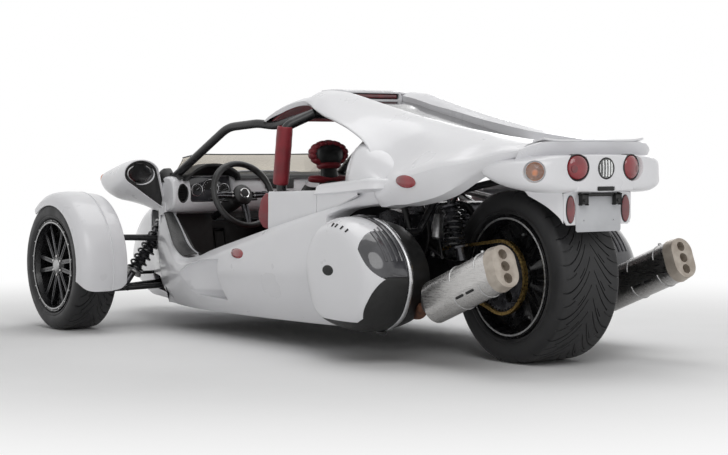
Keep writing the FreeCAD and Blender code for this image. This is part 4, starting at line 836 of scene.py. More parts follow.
def make_walls():
    outer = [[(x, 508, top - 6), (x, 516, top), (x, 534, top), (x, 541, top - 8),
              (x, 542, (top + low) / 2), (x, 543, low + 4), (x, 534, low)]
             for x, top, low in WALL_ROWS]
    wall = panel("left_seat_wall", outer, along=4, across=3, corners_across=(1, 2))
    cut(wall, block("split", (716.5, 530, 560), (719.5, 560, 700), 0))
    dome = hull("dome", [[(x, 334 + (y - 334) * wide, z) for y, z in (
        (334, low), (336, top - 60), (360, top - 14), (410, top), (462, top - 14), (502, top - 52),
        (530, (top + low) / 2 - 20), (539, low))] for x, low, top, wide in (
            (703, 672, 690, 0.36), (694, 672, 752, 0.41), (668, 672, 802, 0.5),
            (620, 674, 836, 0.66), (560, 676, 849, 0.84), (490, 680, 842, 0.95),
            (420, 680, 812, 0.98), (372, 684, 780, 0.9), (330, 686, 752, 0.76),
            (290, 690, 728, 0.6))], along=4, corners_around=(1, 7))
    beam = hull("beam", rows_of(BEAM_RINGS, 5), along=5, corners_around=(0, 2, 3))
    shelf = hull("shelf", [[(x, y, z) for y, z in (
        (332, low), (332, top - 4), (340, top), (500, top), (532, top - 6), (539, top - 20),
        (539, low))]
        for x, low, top in ((727, 640, 674), (721, 638, 684), (640, 640, 692), (540, 646, 700),
                            (440, 652, 708), (360, 660, 712))]
        + [[(x, 332 + (y - 332) * wide, z) for y, z in (
            (332, 664), (332, 706), (340, 710), (500, 708), (532, 702), (539, 690), (539, 664))]
            for x, wide in ((318, 0.82), (290, 0.7))], along=4, around=3)
    dress_both(joined("left_seat_wall", [wall, dome, beam, shelf]), "seat_wall", ("side_panels",))
    for name, sign in SIDES:
        knob = lathe(name + "_shoulder_lock", [(0, 6), (7, 6), (9, 4), (9, -8), (0, -8)],
                     spot(548, sign * 486, 762), (0.35, sign, 0.2), 24)
        dress(knob, "satin")


class CAR_OT_nose(bpy.types.Operator):
    """Mould the nose with its lamp sockets, air mouth and suspension openings"""
    bl_idname = "car.nose"
    bl_label = "Nose"

    def execute(self, context):
        make_nose()
        return {"FINISHED"}


class CAR_OT_flanks(bpy.types.Operator):
    """Mould the lower body sides with their air scoops"""
    bl_idname = "car.flanks"
    bl_label = "Flanks"

    def execute(self, context):
        make_flanks()
        return {"FINISHED"}


class CAR_OT_roof(bpy.types.Operator):
    """Mould the roof with its lining and brake lamp housing"""
    bl_idname = "car.roof"
    bl_label = "Roof"

    def execute(self, context):
        make_roof()
        return {"FINISHED"}


class CAR_OT_roof_legs(bpy.types.Operator):
    """Mould the two roof legs, the deck between them and the seat walls"""
    bl_idname = "car.roof_legs"
    bl_label = "Roof legs and seat walls"

    def execute(self, context):
        make_cowls()
        make_walls()
        return {"FINISHED"}


# ------------------------------------------------------------------ tail and lamps

MIRROR_RINGS = (
    # station, middle y and z, half width and height, y and z of the foot on the shoulder
    (2500, 600, 688, 12, 12, 592, 679),
    (2484, 598, 687, 30, 30, 574, 662),
    (2430, 584, 678, 64, 58, 400, 562),
    (2330, 564, 676, 102, 88, 408, 548),
    (2210, 584, 694, 104, 86, 452, 540),
    (2092, 612, 716, 92, 66, 496, 560),
)
MOUTH_ANGLES = (0, 30, 60, 90, 120, 150, 180, -62, -28)


def mirror_ring(x, y, z, wide, tall, foot_y, foot_z, inset=0.0):
    """A ring round the mirror pod: an oval with a foot that reaches down to the nose."""
    wide, tall = wide - inset, tall - inset
    foot_y, foot_z = foot_y + inset * 0.6, foot_z + inset * 1.6
    *points, low, end = [(y + wide * math.cos(math.radians(a)),
                          z + tall * math.sin(math.radians(a)))
                         for a in MOUTH_ANGLES]
    inner = points[-1]
    points += [((inner[0] + foot_y) / 2 - 4, (inner[1] + foot_z) / 2), (foot_y - 5, foot_z),
               (foot_y + 8, foot_z - 4), ((low[0] + foot_y) / 2 + 16, (low[1] + foot_z) / 2 + 4),
               low, end]
    return [(x, py, pz) for py, pz in points]


def disc(name, y, z, wide, tall, x, thick, sign=1, bulge=0.0):
    """An upright oval disc facing back, a little domed."""
    rings = ((0.45, bulge * 0.85), (0.8, bulge * 0.42), (0.97, 0.0), (1.0, -1.0), (1.0, -thick))
    verts = [spot(x - rise, sign * (y + wide * share * c), z + tall * share * q)
             for share, rise in rings for c, q in circle(40)]
    return sealed(mesh_object(name, verts, capped_faces(len(rings), 40)))


def make_mirrors():
    for name, sign in SIDES:
        def ring(row, x, **inset):
            return [(x, sign * y, z) for _, y, z in mirror_ring(*row, **inset)]

        name += "_mirror_"
        last = MIRROR_RINGS[-1]
        pod = hull(name + "pod", [ring(row, row[0]) for row in MIRROR_RINGS], along=6)
        cut(pod, hull("mouth", [ring(last, 2118, inset=5), ring(last, 2080, inset=4)], along=1))
        dress(edged(pod, 1.2, 45), "white", nodes=("mirror_pods",) if sign > 0 else ())
        face = hull(name + "face", [ring(last, x, inset=5.5) for x in (2112, 2106)], along=1)
        cut(face, disc("glass_hole", 612, 718, 68, 45, 2100, 20, sign=sign))
        dress(edged(face, 1.5, 45), "satin")
        glass = disc(name + "glass", 612, 718, 66, 43, 2110, 5, sign=sign)
        dress(glass, "mirror", nodes=("mirror_glasses",) if sign > 0 else ())
        arc = [spot(2103, sign * (612 + 70 * math.cos(a)), 716 + 49 * math.sin(a))
               for a in (math.radians(degrees) for degrees in range(150, 291, 20))]
        dress(tube(name + "trim", arc, 3, 10, 4, radii=[0.8, 2, 3.2, 3.8, 3.8, 3.2, 2, 0.8]),
              "white")
        bulb = lathe(name + "marker", [(0, 27), (9, 25.5), (17, 21), (22.5, 13), (25, 3), (25, -6),
                                       (0, -6)],
                     spot(2474, sign * 606, 691), (0.55, sign * 0.83, 0.05), 40)
        dress(bulb, "amber")


REVERSING_LAMP = (-404, 0, 748)
LAMPS = (
    # name, station of the lens, y, z, radius, outward turn in degrees
    ("tail_lamp", -394, 132, 752, 48, 12),
    ("turn_signal", -338, 287, 738, 36, 46),
)


def lamp_way(sign, turn):
    """The way a tail lamp faces: back, turned outward by some degrees."""
    return Vector((-math.cos(math.radians(turn)), sign * math.sin(math.radians(turn)), 0))


def make_tail():
    pod = hull("tail", [[(x, (near + far) / 2 + (far - near) / 2 * squared(c, 0.78),
                          (low + high) / 2 + (high - low) / 2 * squared(q, 0.7))
                         for c, q in circle(16)]
                        for x, near, far, low, high in TAIL_RINGS], along=4, around=3)
    middle = hull("tail_middle", [[(x, y, z) for y, z in (
        (-half, low), (-half, (low + high) / 2), (-half, high), (0, high + 2), (half, high),
        (half, (low + high) / 2), (half, low), (0, low - 3))]
        for x, half, low, high in ((-286, 150, 668, 796), (-340, 150, 662, 798),
                                   (-392, 140, 664, 796), (-403, 132, 671, 789))], around=3,
                  corners_around=(2, 4, 6))
    for part in (mirrored(pod, "tail_right"), middle):
        combine(pod, part, "UNION")
    for _, x, y, z, radius, turn in LAMPS:
        for sign in (1, -1):
            cut(pod, lathe("socket", [(0, 80), (radius * 1.3, 80), (radius + 3, 2),
                                      (radius + 1.5, -2), (radius + 1.5, -42), (0, -42)],
                           spot(x, sign * y, z), lamp_way(sign, turn), 48))
    cut(pod, lathe("socket", [(0, 40), (43, 40), (40.5, -3), (40.5, -24), (0, -24)],
                   spot(*REVERSING_LAMP), (-1, 0, 0), 48))
    cut(pod, block("slot", (-420, -44, 664), (-398, 44, 682), 4, 3))
    dress(edged(pod, 1.2, 42), "white", nodes=("tail_section",))
    lip = panel("tail_lip", [[(x, y, z + rise) for y, rise in (
        (-246, 8), (-200, 2), (-120, 0), (0, 1), (120, 0), (200, 2), (246, 8))]
        for x, z in ((-276, 838), (-300, 839), (-326, 844), (-340, 848))], thick=7)
    under = panel("lip_face", [[(x + fore, y, z - drop) for y, fore, drop in (
        (-322, 46, 30), (-290, 22, 14), (-240, 0, 2), (-120, 0, 0), (0, 0, 0), (120, 0, 0),
        (240, 0, 2), (290, 22, 14), (322, 46, 30))]
        for x, z in ((-338, 846), (-326, 826), (-312, 804), (-304, 782))], across=3, thick=5)
    dress(joined("tail_lip", [lip, under]), "white")
    # a dark strip in the plate lamp slot: painted shade of the slot
    dress(block("plate_lamp_slot_shade", (-404, -40, 666), (-399, 40, 680), 2, 2), "dark")


def lamp_dome(name, centre, way, radius, rise, finish_name, nodes=()):
    """A domed lens facing along the way."""
    shape = [(radius * share, rise * height) for share, height in LENS_SHAPE]
    return dress(lathe(name, shape + [(radius, -1), (radius, -7), (0, -7)], centre, way, 56),
                 finish_name, nodes=nodes)


def make_lamps():
    for side, sign in SIDES:
        for name, x, y, z, radius, turn in LAMPS:
            way = lamp_way(sign, turn)
            centre = spot(x, sign * y, z)
            name = "%s_%s" % (side, name)
            bezel = lathe(name + "_bezel", [(radius - 2, 2), (radius + 1, 1), (radius + 1, -36),
                                            (radius - 3, -36), (radius - 4, 0)], centre, way, 56,
                          closed=True)
            if name.endswith("tail_lamp"):
                dress(bezel, "satin")
                lamp_dome(name, centre, way, radius - 4, 15, "lens",
                          ("red_lamps",) if sign > 0 else ())
                for shift in (-16, 16):
                    eye = centre + Vector((0, shift / 1000, -0.004)) + way * 0.0075
                    dress(lathe(name + "_reflector", [(0, 4), (9, 3.8), (15, 2), (17, -2), (0, -4)],
                                eye, way, 28), "reflector")
            else:
                dress(bezel, "chrome")
                bowl = lathe(name + "_bowl", [(radius - 4, -2), (radius * 0.78, -14),
                                              (radius * 0.45, -24), (0, -28), (0, -32),
                                              (radius * 0.5, -29), (radius - 3, -12)],
                             centre, way, 40)
                dress(bowl, "chrome")
                bulb = lathe(name + "_bulb", [(0, 0), (8, -3), (11, -9), (9, -17), (5, -25),
                                              (0, -26)],
                             centre + Vector((0, 0, -0.004)), way, 24)
                dress(bulb, "amber")
                lamp_dome(name, centre, way, radius - 4, 13, "clear",
                          ("clear_lamps",) if sign > 0 else ())
        front = lathe(side + "_front_marker", [(0, 8), (10, 7.4), (17, 5), (21, 0.5), (21, -3),
                                               (0, -3)],
                      spot(1246, sign * 603, 384), (0, sign, 0.28), 40)
        dress(widened(front, spot(1246, 0, 384), 2.5, (1, 0, 0.1)), "lens")
        rear = lathe(side + "_rear_marker", [(0, 8), (11, 7.2), (19, 5), (24, 0.5), (24, -16),
                                             (0, -16)],
                     spot(196, sign * 487, 700), (-0.42, sign * 0.9, -0.02), 40)
        dress(widened(rear, spot(206, 0, 700), 2.3, (1, 0, 0.1)), "lens")
        dress(block(side + "_headlamp", (2800, sign * 132, 352), (2916, sign * 204, 420), 8, 3),
              "smoke")
    centre, way = spot(*REVERSING_LAMP), Vector((-1, 0, 0))
    dress(lathe("reversing_lamp_bezel", [(36, 1), (40, 0), (40, -20), (35, -20), (34, -2)], centre,
                way, 48, closed=True), "satin")
    for index in range(5):
        y = -30 + index * 13
        dress(block("reversing_lamp_rib", (-402, y, 718), (-398, y + 8, 778), 1.5, 2), "chrome")
    dress(lathe("reversing_lamp_back", [(0, -8), (35, -8), (35, -12), (0, -12)], centre, way, 40),
          "alloy")
    lamp_dome("reversing_lamp", centre, way, 36, 6, "clear")


def make_flap():
    flap = [plate("plate_flap", [spot(-350, y, z) for y, z in (
        (-165, 657), (-165, 560), (-150, 540), (150, 540), (165, 560), (165, 657), (120, 664),
        (-120, 664))], (-0.008, 0, 0))]
    for sign in (1, -1):
        flap.append(panel("wing", [[(x, sign * y, z) for x, y, z in row] for row in (
            ((-352, 164, 545), (-352, 165, 600), (-352, 168, 655), (-352, 178, 668)),
            ((-338, 176, 572), (-334, 182, 616), (-326, 190, 656), (-322, 198, 672)),
            ((-300, 206, 612), (-292, 214, 640), (-280, 224, 662), (-270, 230, 676)),
            ((-250, 244, 648), (-240, 248, 660), (-226, 254, 674), (-214, 258, 688)))], along=4))
    dress(joined("plate_flap", flap), "white", nodes=("plate_flap",))
    blank = plate("number_plate", [spot(-358.4, y, z) for y, z in (
        (-104, 514), (104, 514), (110, 520), (110, 644), (104, 650), (-104, 650), (-110, 644),
        (-110, 520))], (-0.003, 0, 0), 0.6)
    for y in (-73, 73):
        cut(blank, lathe("hole", [(0, 20), (3.5, 20), (3.5, -20), (0, -20)], spot(-360, y, 556),
                         (1, 0, 0), 20))
    dress(blank, "plate", nodes=("number_plate",))
    bracket = [block("bracket", (-358, -96, 645), (-372, 96, 656), 3)]
    for y in (-82, 82):
        bracket.append(block("bracket", (-361, y - 15, 616), (-378, y + 15, 652), 4))
        bracket.append(lathe("bolt", [(0, 5), (4.5, 5), (6, 3), (6, 0), (0, 0)], spot(-378, y, 630),
                             (-1, 0, 0), 16))
    dress(joined("plate_bracket", bracket), "satin")
    for side, sign in SIDES:
        for part, grow, x, finish_name in (("surround", 3, -360.5, "satin"),
                                           ("reflector", 0, -363, "reflector")):
            dress(disc("%s_flap_%s" % (side, part), 135, 598, 19 + grow, 49 + grow, x, 2.2,
                       sign=sign, bulge=1.6), finish_name)


class CAR_OT_mirrors(bpy.types.Operator):
    """Mould the mirror pods with their glass, trim and amber markers"""
    bl_idname = "car.mirrors"
    bl_label = "Mirrors"

    def execute(self, context):
        make_mirrors()
        return {"FINISHED"}


class CAR_OT_tail(bpy.types.Operator):
    """Mould the tail with its lip, plate flap and blank plate"""
    bl_idname = "car.tail"
    bl_label = "Tail"

    def execute(self, context):
        make_tail()
        make_flap()
        return {"FINISHED"}


class CAR_OT_lamps(bpy.types.Operator):
    """Make the tail lamps, turn signals, markers and headlamps"""
    bl_idname = "car.lamps"
    bl_label = "Lamps"

    def execute(self, context):
        make_lamps()
        return {"FINISHED"}


# ------------------------------------------------------------------ wheels and fenders

COLUMN_SHARES = (0.0, 0.012, 0.058, 0.07, 0.2, 0.34, 0.352, 0.392, 0.404, 0.45)
GROOVES = (
    # where round the pitch it starts and ends, where across it starts and ends, share of the depth
    (0.012, 0.058, 0.05, 1.2, 1.0),
    (0.352, 0.392, 0.13, 0.74, 0.9),
    (0.512, 0.558, 0.63, 1.05, 0.5),
    (0.852, 0.892, 0.3, 0.5, 0.7),
)
TREAD_SHARES = (0.0, 0.045, 0.06, 0.12, 0.14, 0.24, 0.29, 0.31, 0.42, 0.49, 0.51, 0.62, 0.64, 0.73,
                0.75, 0.86, 0.94, 1.0)
GROOVE_SWEEP = 0.44
OFF_TREAD = 9.0
TYRES = (
    # name, node, body, station, y, radius, width, radius of the bead, pitches round it
    ("front_left", "front_left_wheel", WHEELBASE, HALF_TRACK, FRONT_RADIUS, 205, 203.2, 17),
    ("front_right", "front_right_wheel", WHEELBASE, -HALF_TRACK, FRONT_RADIUS, 205, 203.2, 17),
    ("rear", "rear_wheel", 0, 0, REAR_RADIUS, 295, 228.6, 20),
)


def sweep_of(share, length):
    """How far round the tyre a groove has swept back at this share of the way to the shoulder."""
    return length * (1 - (1 - min(share, 1.0)) ** 1.9)


def groove_at(turn, share, right):
    """Share of the groove depth at a place on the tread."""
    turn = (turn + (0.5 if right else 0.0)) % 1.0
    best = 0.0
    for start, end, near, far, depth in GROOVES:
        if start - 1e-6 <= turn <= end + 1e-6 and near <= share <= far:
            best = max(best, depth)
    return best


def make_tyre(sizes, name, body, station, middle, radius, width, bead, pitches):
    """A tyre with slanting grooves, shoulder sipes and ribbed sides, closed inside over the rim."""
    half = width / 2
    reach = half - 24
    side = [(half - 16.3, bead + 0.3), (half - 16.3, bead + 12), (half - 6, bead + 17),
            (half - 2, bead + 24), (half - 4, bead + 28), (half - 0.5, bead + 34),
            (half, bead + 44), (half, radius - 36), (half - 3, radius - 22),
            (half - 10, radius - 10), (half - 17, radius - 4)]
    inner = [(half - 26, bead + 0.3), (half - 26, bead + 30), (half - 11, radius - 34),
             (half - 30, radius - 19), (0, radius - 18)]
    section = [(y, r, OFF_TREAD, 0.0) for y, r in side]
    section += [(reach * share, radius - 2.2 * share ** 2, share, 1.0)
                for share in reversed(TREAD_SHARES)]
    section[len(side) - 1] = (side[-1][0], side[-1][1], 1.1, 0.75)
    section[len(side) - 2] = (side[-2][0], side[-2][1], 1.15, 0.3)
    ring = section + [(-y, r, share, deep) for y, r, share, deep in reversed(section[:-1])]
    hollow = inner + [(-y, r) for y, r in reversed(inner[:-1])]
    ring += [(-y, r, OFF_TREAD, 0.0) for y, r in hollow]
    turns = [(pitch + half_turn + share) / pitches for pitch in range(pitches)
             for half_turn in (0.0, 0.5) for share in COLUMN_SHARES]
    verts = []
    for y, r, share, deep in ring:
        shift = sweep_of(share, GROOVE_SWEEP)
        for turn in turns:
            low = 0.0
            if deep and share < OFF_TREAD:
                low = groove_at((turn * pitches) % 1.0, share, y < 0) * deep
                if 0.3 <= share <= 0.3001:
                    low = max(low, 0.6)
            angle = 2 * math.pi * turn + shift
            away = (r - low * sizes.groove_depth * 1000) / 1000
            verts.append(Vector((REAR_X + station / 1000 + away * math.cos(angle),
                                 (middle + y) / 1000, (radius / 1000) + away * math.sin(angle))))
    tyre = sealed(mesh_object(name + "_tyre_tread", verts, looped_faces(len(ring), len(turns))))
    return dress(tyre, "tyre", body, nodes=(name + "_tyre",), crisp=28)


def make_wheel_trim():
    """Centre caps, nuts, valves and the polished line round each rim."""
    for side, sign in SIDES:
        axle = (0, sign, 0)
        part, body = "front_%s_" % side, "front_%s_wheel" % side

        def ring(count, y, away):
            return [spot(WHEELBASE + away * c, sign * y, FRONT_RADIUS + away * q)
                    for c, q in circle(count, 0.5)]

        cap = lathe(part + "cap", [(0, 9), (16, 8.4), (25, 6), (29, 2), (30, -3), (34, -3.5),
                                   (34, -6), (0, -6)], spot(WHEELBASE, sign * 956.5, FRONT_RADIUS),
                    axle, 48)
        dress(cap, "alloy", body)
        nuts = studs(part + "nuts", [(0, 8), (5, 8), (7, 5.5), (7, -6), (0, -6)],
                     ring(6, 950.5, 42), axle, 6)
        dress(nuts, "steel", body, crisp=20)
        line = lathe(part + "rim_line", [(196, 1.2), (199, 1.8), (202, 1.2), (202, -1.5),
                                         (196, -1.5)],
                     spot(WHEELBASE, sign * (HALF_TRACK + 97.5), FRONT_RADIUS), axle, 160,
                     closed=True)
        dress(line, "alloy", body)
        rivets = studs(part + "rivets", [(0, 3.2), (2.6, 2.8), (4, 1), (4, -2), (0, -2)],
                       ring(18, 979, 207.5), axle, 10)
        dress(rivets, "alloy", body)
        ridges = []
        for c, q in circle(6):
            for way in (1, -1):
                ends = [(c * away - q * way * off, q * away + c * way * off)
                        for away, off in ((50, 16), (192, 36))]
                ridges.append(tube("ridge", [spot(WHEELBASE + x, sign * 953.4, FRONT_RADIUS + z)
                                             for x, z in ends], 2.2, 8, 2))
        dress(joined(part + "spoke_edges", ridges), "rim_edge", body)
        ends = [spot(WHEELBASE + away * math.cos(0.52), sign * y,
                     FRONT_RADIUS + away * math.sin(0.52))
                for y, away in ((958, 196), (968, 186))]
        dress(tube("valve", ends, 3, 10, 2), "satin", body)
    for side, sign in SIDES:
        part, axle, centre = "rear_%s_" % side, (0, sign, 0), spot(0, 0, REAR_RADIUS)
        dish = lathe(part + "dish", [
            (52, 66), (58, 69), (80, 60), (120, 44), (165, 40), (198, 52), (214, 72), (219, 74),
            (219, 70), (200, 46), (165, 34), (118, 38), (78, 54), (52, 60)], centre, axle, 96,
                     closed=True)
        dress(dish, "rim", "rear_wheel")
        bolts = studs(part + "bolts", [(0, 7), (5, 7), (6.5, 5), (6.5, -2), (0, -2)],
                      [spot(160 * c, sign * 42, REAR_RADIUS + 160 * q) for c, q in circle(10, 0.3)],
                      axle, 12)
        dress(bolts, "alloy", "rear_wheel")
        line = lathe("rear_rim_line", [(221, 1), (225, 1.8), (228, 1), (228, -1.5), (221, -1.5)],
                     spot(0, sign * 142.5, REAR_RADIUS), axle, 160, closed=True)
        dress(line, "alloy", "rear_wheel")


FENDER_SECTION = (
    # y and distance from the axle, from the inner flange over the crown to the outer lip
    (754, 292), (754, 316), (760, 326), (786, 331), (824, 333), (828, 333.4), (838, 338.6),
    (880, 340.5), (925, 339), (958, 331), (979, 314), (987, 296), (989.3, 278))
FENDER_CREASES = (5, 6)


def make_fenders():
    for side, sign in SIDES:
        rows = []
        for step in range(13):
            row = []
            for y, away in FENDER_SECTION:
                off = abs((y - 872) / 118) ** 5
                start, end = 52 + 5 * off, 198 - 6 * off
                turn = math.radians(start + (end - start) * step / 12)
                row.append((WHEELBASE + away * math.cos(turn), sign * y,
                            FRONT_RADIUS + away * math.sin(turn)))
            rows.append(row)
        part, body = "front_%s_fender" % side, "front_%s_upright" % side
        fender = panel(part + "_shell", rows, along=6, corners_across=FENDER_CREASES, thick=6)
        dress(edged(fender, 1.6, 50), "white", body, nodes=(part,))
        places = [spot(WHEELBASE + offset, sign * 754, FRONT_RADIUS + rise)
                  for offset in (-70, 70) for rise in (298, 283)]
        dress(studs(part + "_bolts", [(0, 5), (5, 5), (7, 3), (7, -9), (0, -9)], places,
                    (0, -sign, 0), 14), "steel", body)


class CAR_OT_tyres(bpy.types.Operator):
    """Mould the three tyres with their tread"""
    bl_idname = "car.tyres"
    bl_label = "Tyres"

    def execute(self, context):
        for row in TYRES:
            make_tyre(context.scene.car_sizes, *row)
        return {"FINISHED"}


class CAR_OT_wheels(bpy.types.Operator):
    """Fit the wheels' caps, nuts and polished lines"""
    bl_idname = "car.wheels"
    bl_label = "Wheel trim"

    def execute(self, context):
        make_wheel_trim()
        return {"FINISHED"}


class CAR_OT_fenders(bpy.types.Operator):
    """Mould the two front fenders"""
    bl_idname = "car.fenders"
    bl_label = "Fenders"

    def execute(self, context):
        make_fenders()
        return {"FINISHED"}


# ------------------------------------------------------------------ side cases

CASE_LINE = ((628, 300), (628, 420), (560, 520), (440, 560), (300, 538), (190, 470), (126, 380),
             (122, 290), (170, 190), (270, 128), (420, 120), (560, 160))
CASE_MIDDLE = (380, 335)
LID_STEPS = (
    # y, size of the ring, rise of the ring
    (523, 1.0, 0), (556, 0.998, 0), (590, 0.985, 3), (622, 0.955, 5), (650, 0.9, 6), (672, 0.83, 7),
    (686, 0.73, 8), (692, 0.56, 8), (694, 0.3, 8))
SHIELD_LINE = ((700, 640), (700, 210), (640, 182), (600, 172), (262, 165), (228, 182), (180, 250),
               (128, 335), (178, 390), (226, 446), (236, 482), (258, 540), (262, 640))
BAND_TURNS = (2.7, 3, 4, 5, 6, 7, 8, 8.9)


def case_ring(y, size, rise, sign):
    """The side case's outline at a distance from the car's middle, shrunk and raised."""
    x0, z0 = CASE_MIDDLE
    return [(x0 + (x - x0) * size, sign * y, z0 + (z - z0) * size + rise) for x, z in CASE_LINE]


LENS_SHAPE = ((0, 1), (0.3, 0.96), (0.58, 0.8), (0.8, 0.52), (0.94, 0.22))
def case_hull(name, steps, sign, grow=0.0, inward=0.0):
    """A closed body through rings of the side case."""
    return hull(name, [case_ring(y - inward, size * (1 + grow), rise, sign)
                       for y, size, rise in steps],
                along=4, around=5)


def prism(line, near, far, sign):
    """A block with a station and height outline, standing across the car."""
    return plate("prism", [spot(x, sign * near, z) for x, z in line],
                 (0, sign * (far - near) / 1000, 0), 0)


def case_shell_piece(name, sign, grow, kept, dropped=None):
    """A part of the lid's shell: inside one prism and outside another."""
    piece = case_hull(name, LID_STEPS, sign, grow)
    inner = case_hull("inner", LID_STEPS, sign, grow - 0.03, 5)
    for vert in inner.data.vertices:
        if abs(vert.co.y) < 0.524:
            vert.co.y = sign * 0.515
    cut(piece, inner)
    combine(piece, kept, "INTERSECT")
    if dropped:
        cut(piece, dropped)
    return edged(piece, 1.2, 45)


def ring_place(turn, y, size, rise, sign):
    """A place on a ring of the case, at a part turn between its corners."""
    ring = case_ring(y, size, rise, sign)
    wrapped = ring[-1:] + ring + ring[:3]
    fine = flow(wrapped, 10)
    return spot(*fine[int(round((turn + 1) * 10))])


def make_case(side, sign):
    body = side + "_case_lid"
    white = case_shell_piece(side + "_case_shield", sign, 0.004, prism(SHIELD_LINE, 549, 760, sign))
    dress(white, "white", body, nodes=(body,))
    for part, low, high, finish_name in (("smoked", 342, 700, "smoke"), ("lower", 340, 0, "satin")):
        half = ((-80, low), (-80, high), (720, high), (720, low))
        piece = case_shell_piece("%s_case_%s" % (side, part), sign, 0.0,
                                 prism(half, 500, 760, sign), prism(SHIELD_LINE, 548, 760, sign))
        dress(piece, finish_name, body)
    ribs = []
    for y, size, rise in ((540, 1.0, 1), (562, 0.998, 1), (584, 0.988, 3), (606, 0.973, 4)):
        turns = (2.6, 3, 3.4, 3.8, 4.2, 4.6, 5, 5.4, 5.8) if y < 550 else (
            4.3 + (y - 560) * 0.004, 4.7, 5.1, 5.5, 5.8)
        ribs.append(tube("rib", [ring_place(t, y, size * 1.002, rise, sign) for t in turns], 4.4, 8,
                         4))
    dress(joined(side + "_case_ribs", ribs), "smoke", body)
    rows = []
    for turn in BAND_TURNS:
        fade = 1.0 if 3 <= turn <= 8 else 0.5
        row = []
        for y, swell in ((503, 0), (502, 0.022), (510, 0.034), (518, 0.03), (521, 0.012), (521, 0)):
            place = ring_place(turn, y, 1.0 + swell * fade, 0, sign) * 1000
            row.append((place.x - REAR_X * 1000, place.y, place.z))
        rows.append(row)
    dress(panel(side + "_case_band", rows, along=8, across=3, thick=2), "chrome_satin")
    rear = case_hull(side + "_case_back", ((394, 0.84, 0), (400, 0.88, 0), (430, 0.925, 0),
                                           (470, 0.965, 0), (505, 0.994, 0), (519, 0.998, 0)), sign)
    cut(rear, case_hull("hollow", ((400, 0.84, 0), (430, 0.89, 0), (470, 0.93, 0), (505, 0.96, 0),
                                   (540, 0.965, 0)), sign))
    dress(edged(rear, 1.5, 45), "satin", nodes=("case_shells",) if sign > 0 else ())
    # four dark bars on the lid: painted shade standing for its slots
    slots = [tube("slot", [ring_place(turn, 664, 0.865, 7, sign),
                           ring_place(turn, 675, 0.81, 7.5, sign)],
                  4.6, 12, 2) for turn in (3.2, 3.45, 3.7, 3.95)]
    dress(joined(side + "_case_slot_shade", slots), "dark", body)
    badge = lathe(side + "_case_badge", [(0, 4), (17, 3.6), (20, 2), (21, -4), (0, -4)],
                  spot(408, sign * 692.5, 358), (0, sign, 0), 48)
    dress(widened(badge, spot(408, 0, 358), 1.85, (1, 0, 0)), "dark", body)
    hinges = studs(side + "_case_hinges", [(0, 26), (7, 26), (8, 24), (8, -24), (7, -26), (0, -26)],
                   [spot(x, sign * 520, 118) for x in (300, 470)], (1, 0, 0), 20)
    dress(hinges, "black")
    latch = block(side + "_case_latch", (356, sign * 500, 553), (412, sign * 545, 566), 4)
    dress(latch, "black", body)


class CAR_OT_cases(bpy.types.Operator):
    """Mould the two side cases: white shields, smoked strips and bright bands"""
    bl_idname = "car.cases"
    bl_label = "Side cases"

    def execute(self, context):
        for side, sign in SIDES:
            make_case(side, sign)
        return {"FINISHED"}


# ------------------------------------------------------------------ cockpit

JAMB_LINE = (
    # station, then y and z of the outer edge and of the inner edge
    (2078, 508, 530, 460, 530), (2060, 513, 525, 463, 524), (1980, 533, 453, 471, 462),
    (1908, 548, 390, 478, 396), (1840, 555, 359, 486, 366), (1790, 557, 346, 491, 352),
)
DASH_SECTION = ((2130, 540), (2130, 692), (2092, 706), (2040, 706), (2004, 690), (1986, 650),
                (1984, 600), (1998, 562), (2030, 540), (2080, 534))
HOOD_SECTION = ((118, 684), (124, 716), (160, 742), (205, 757), (254, 762), (303, 757), (350, 738),
                (388, 706), (396, 684), (300, 680), (200, 680))
VENT_Y, VENT_Z, VENT_TALL = 452, 624, 1.5
MARK_SHARE = 0.84
DIALS = ((300, 646, 40), (228, 640, 26), (372, 640, 26))


def stretched(obj, z, tall):
    """Makes a round part into a tall oval about a height."""
    for vert in obj.data.vertices:
        vert.co.z = z / 1000 + (vert.co.z - z / 1000) * tall
    return obj


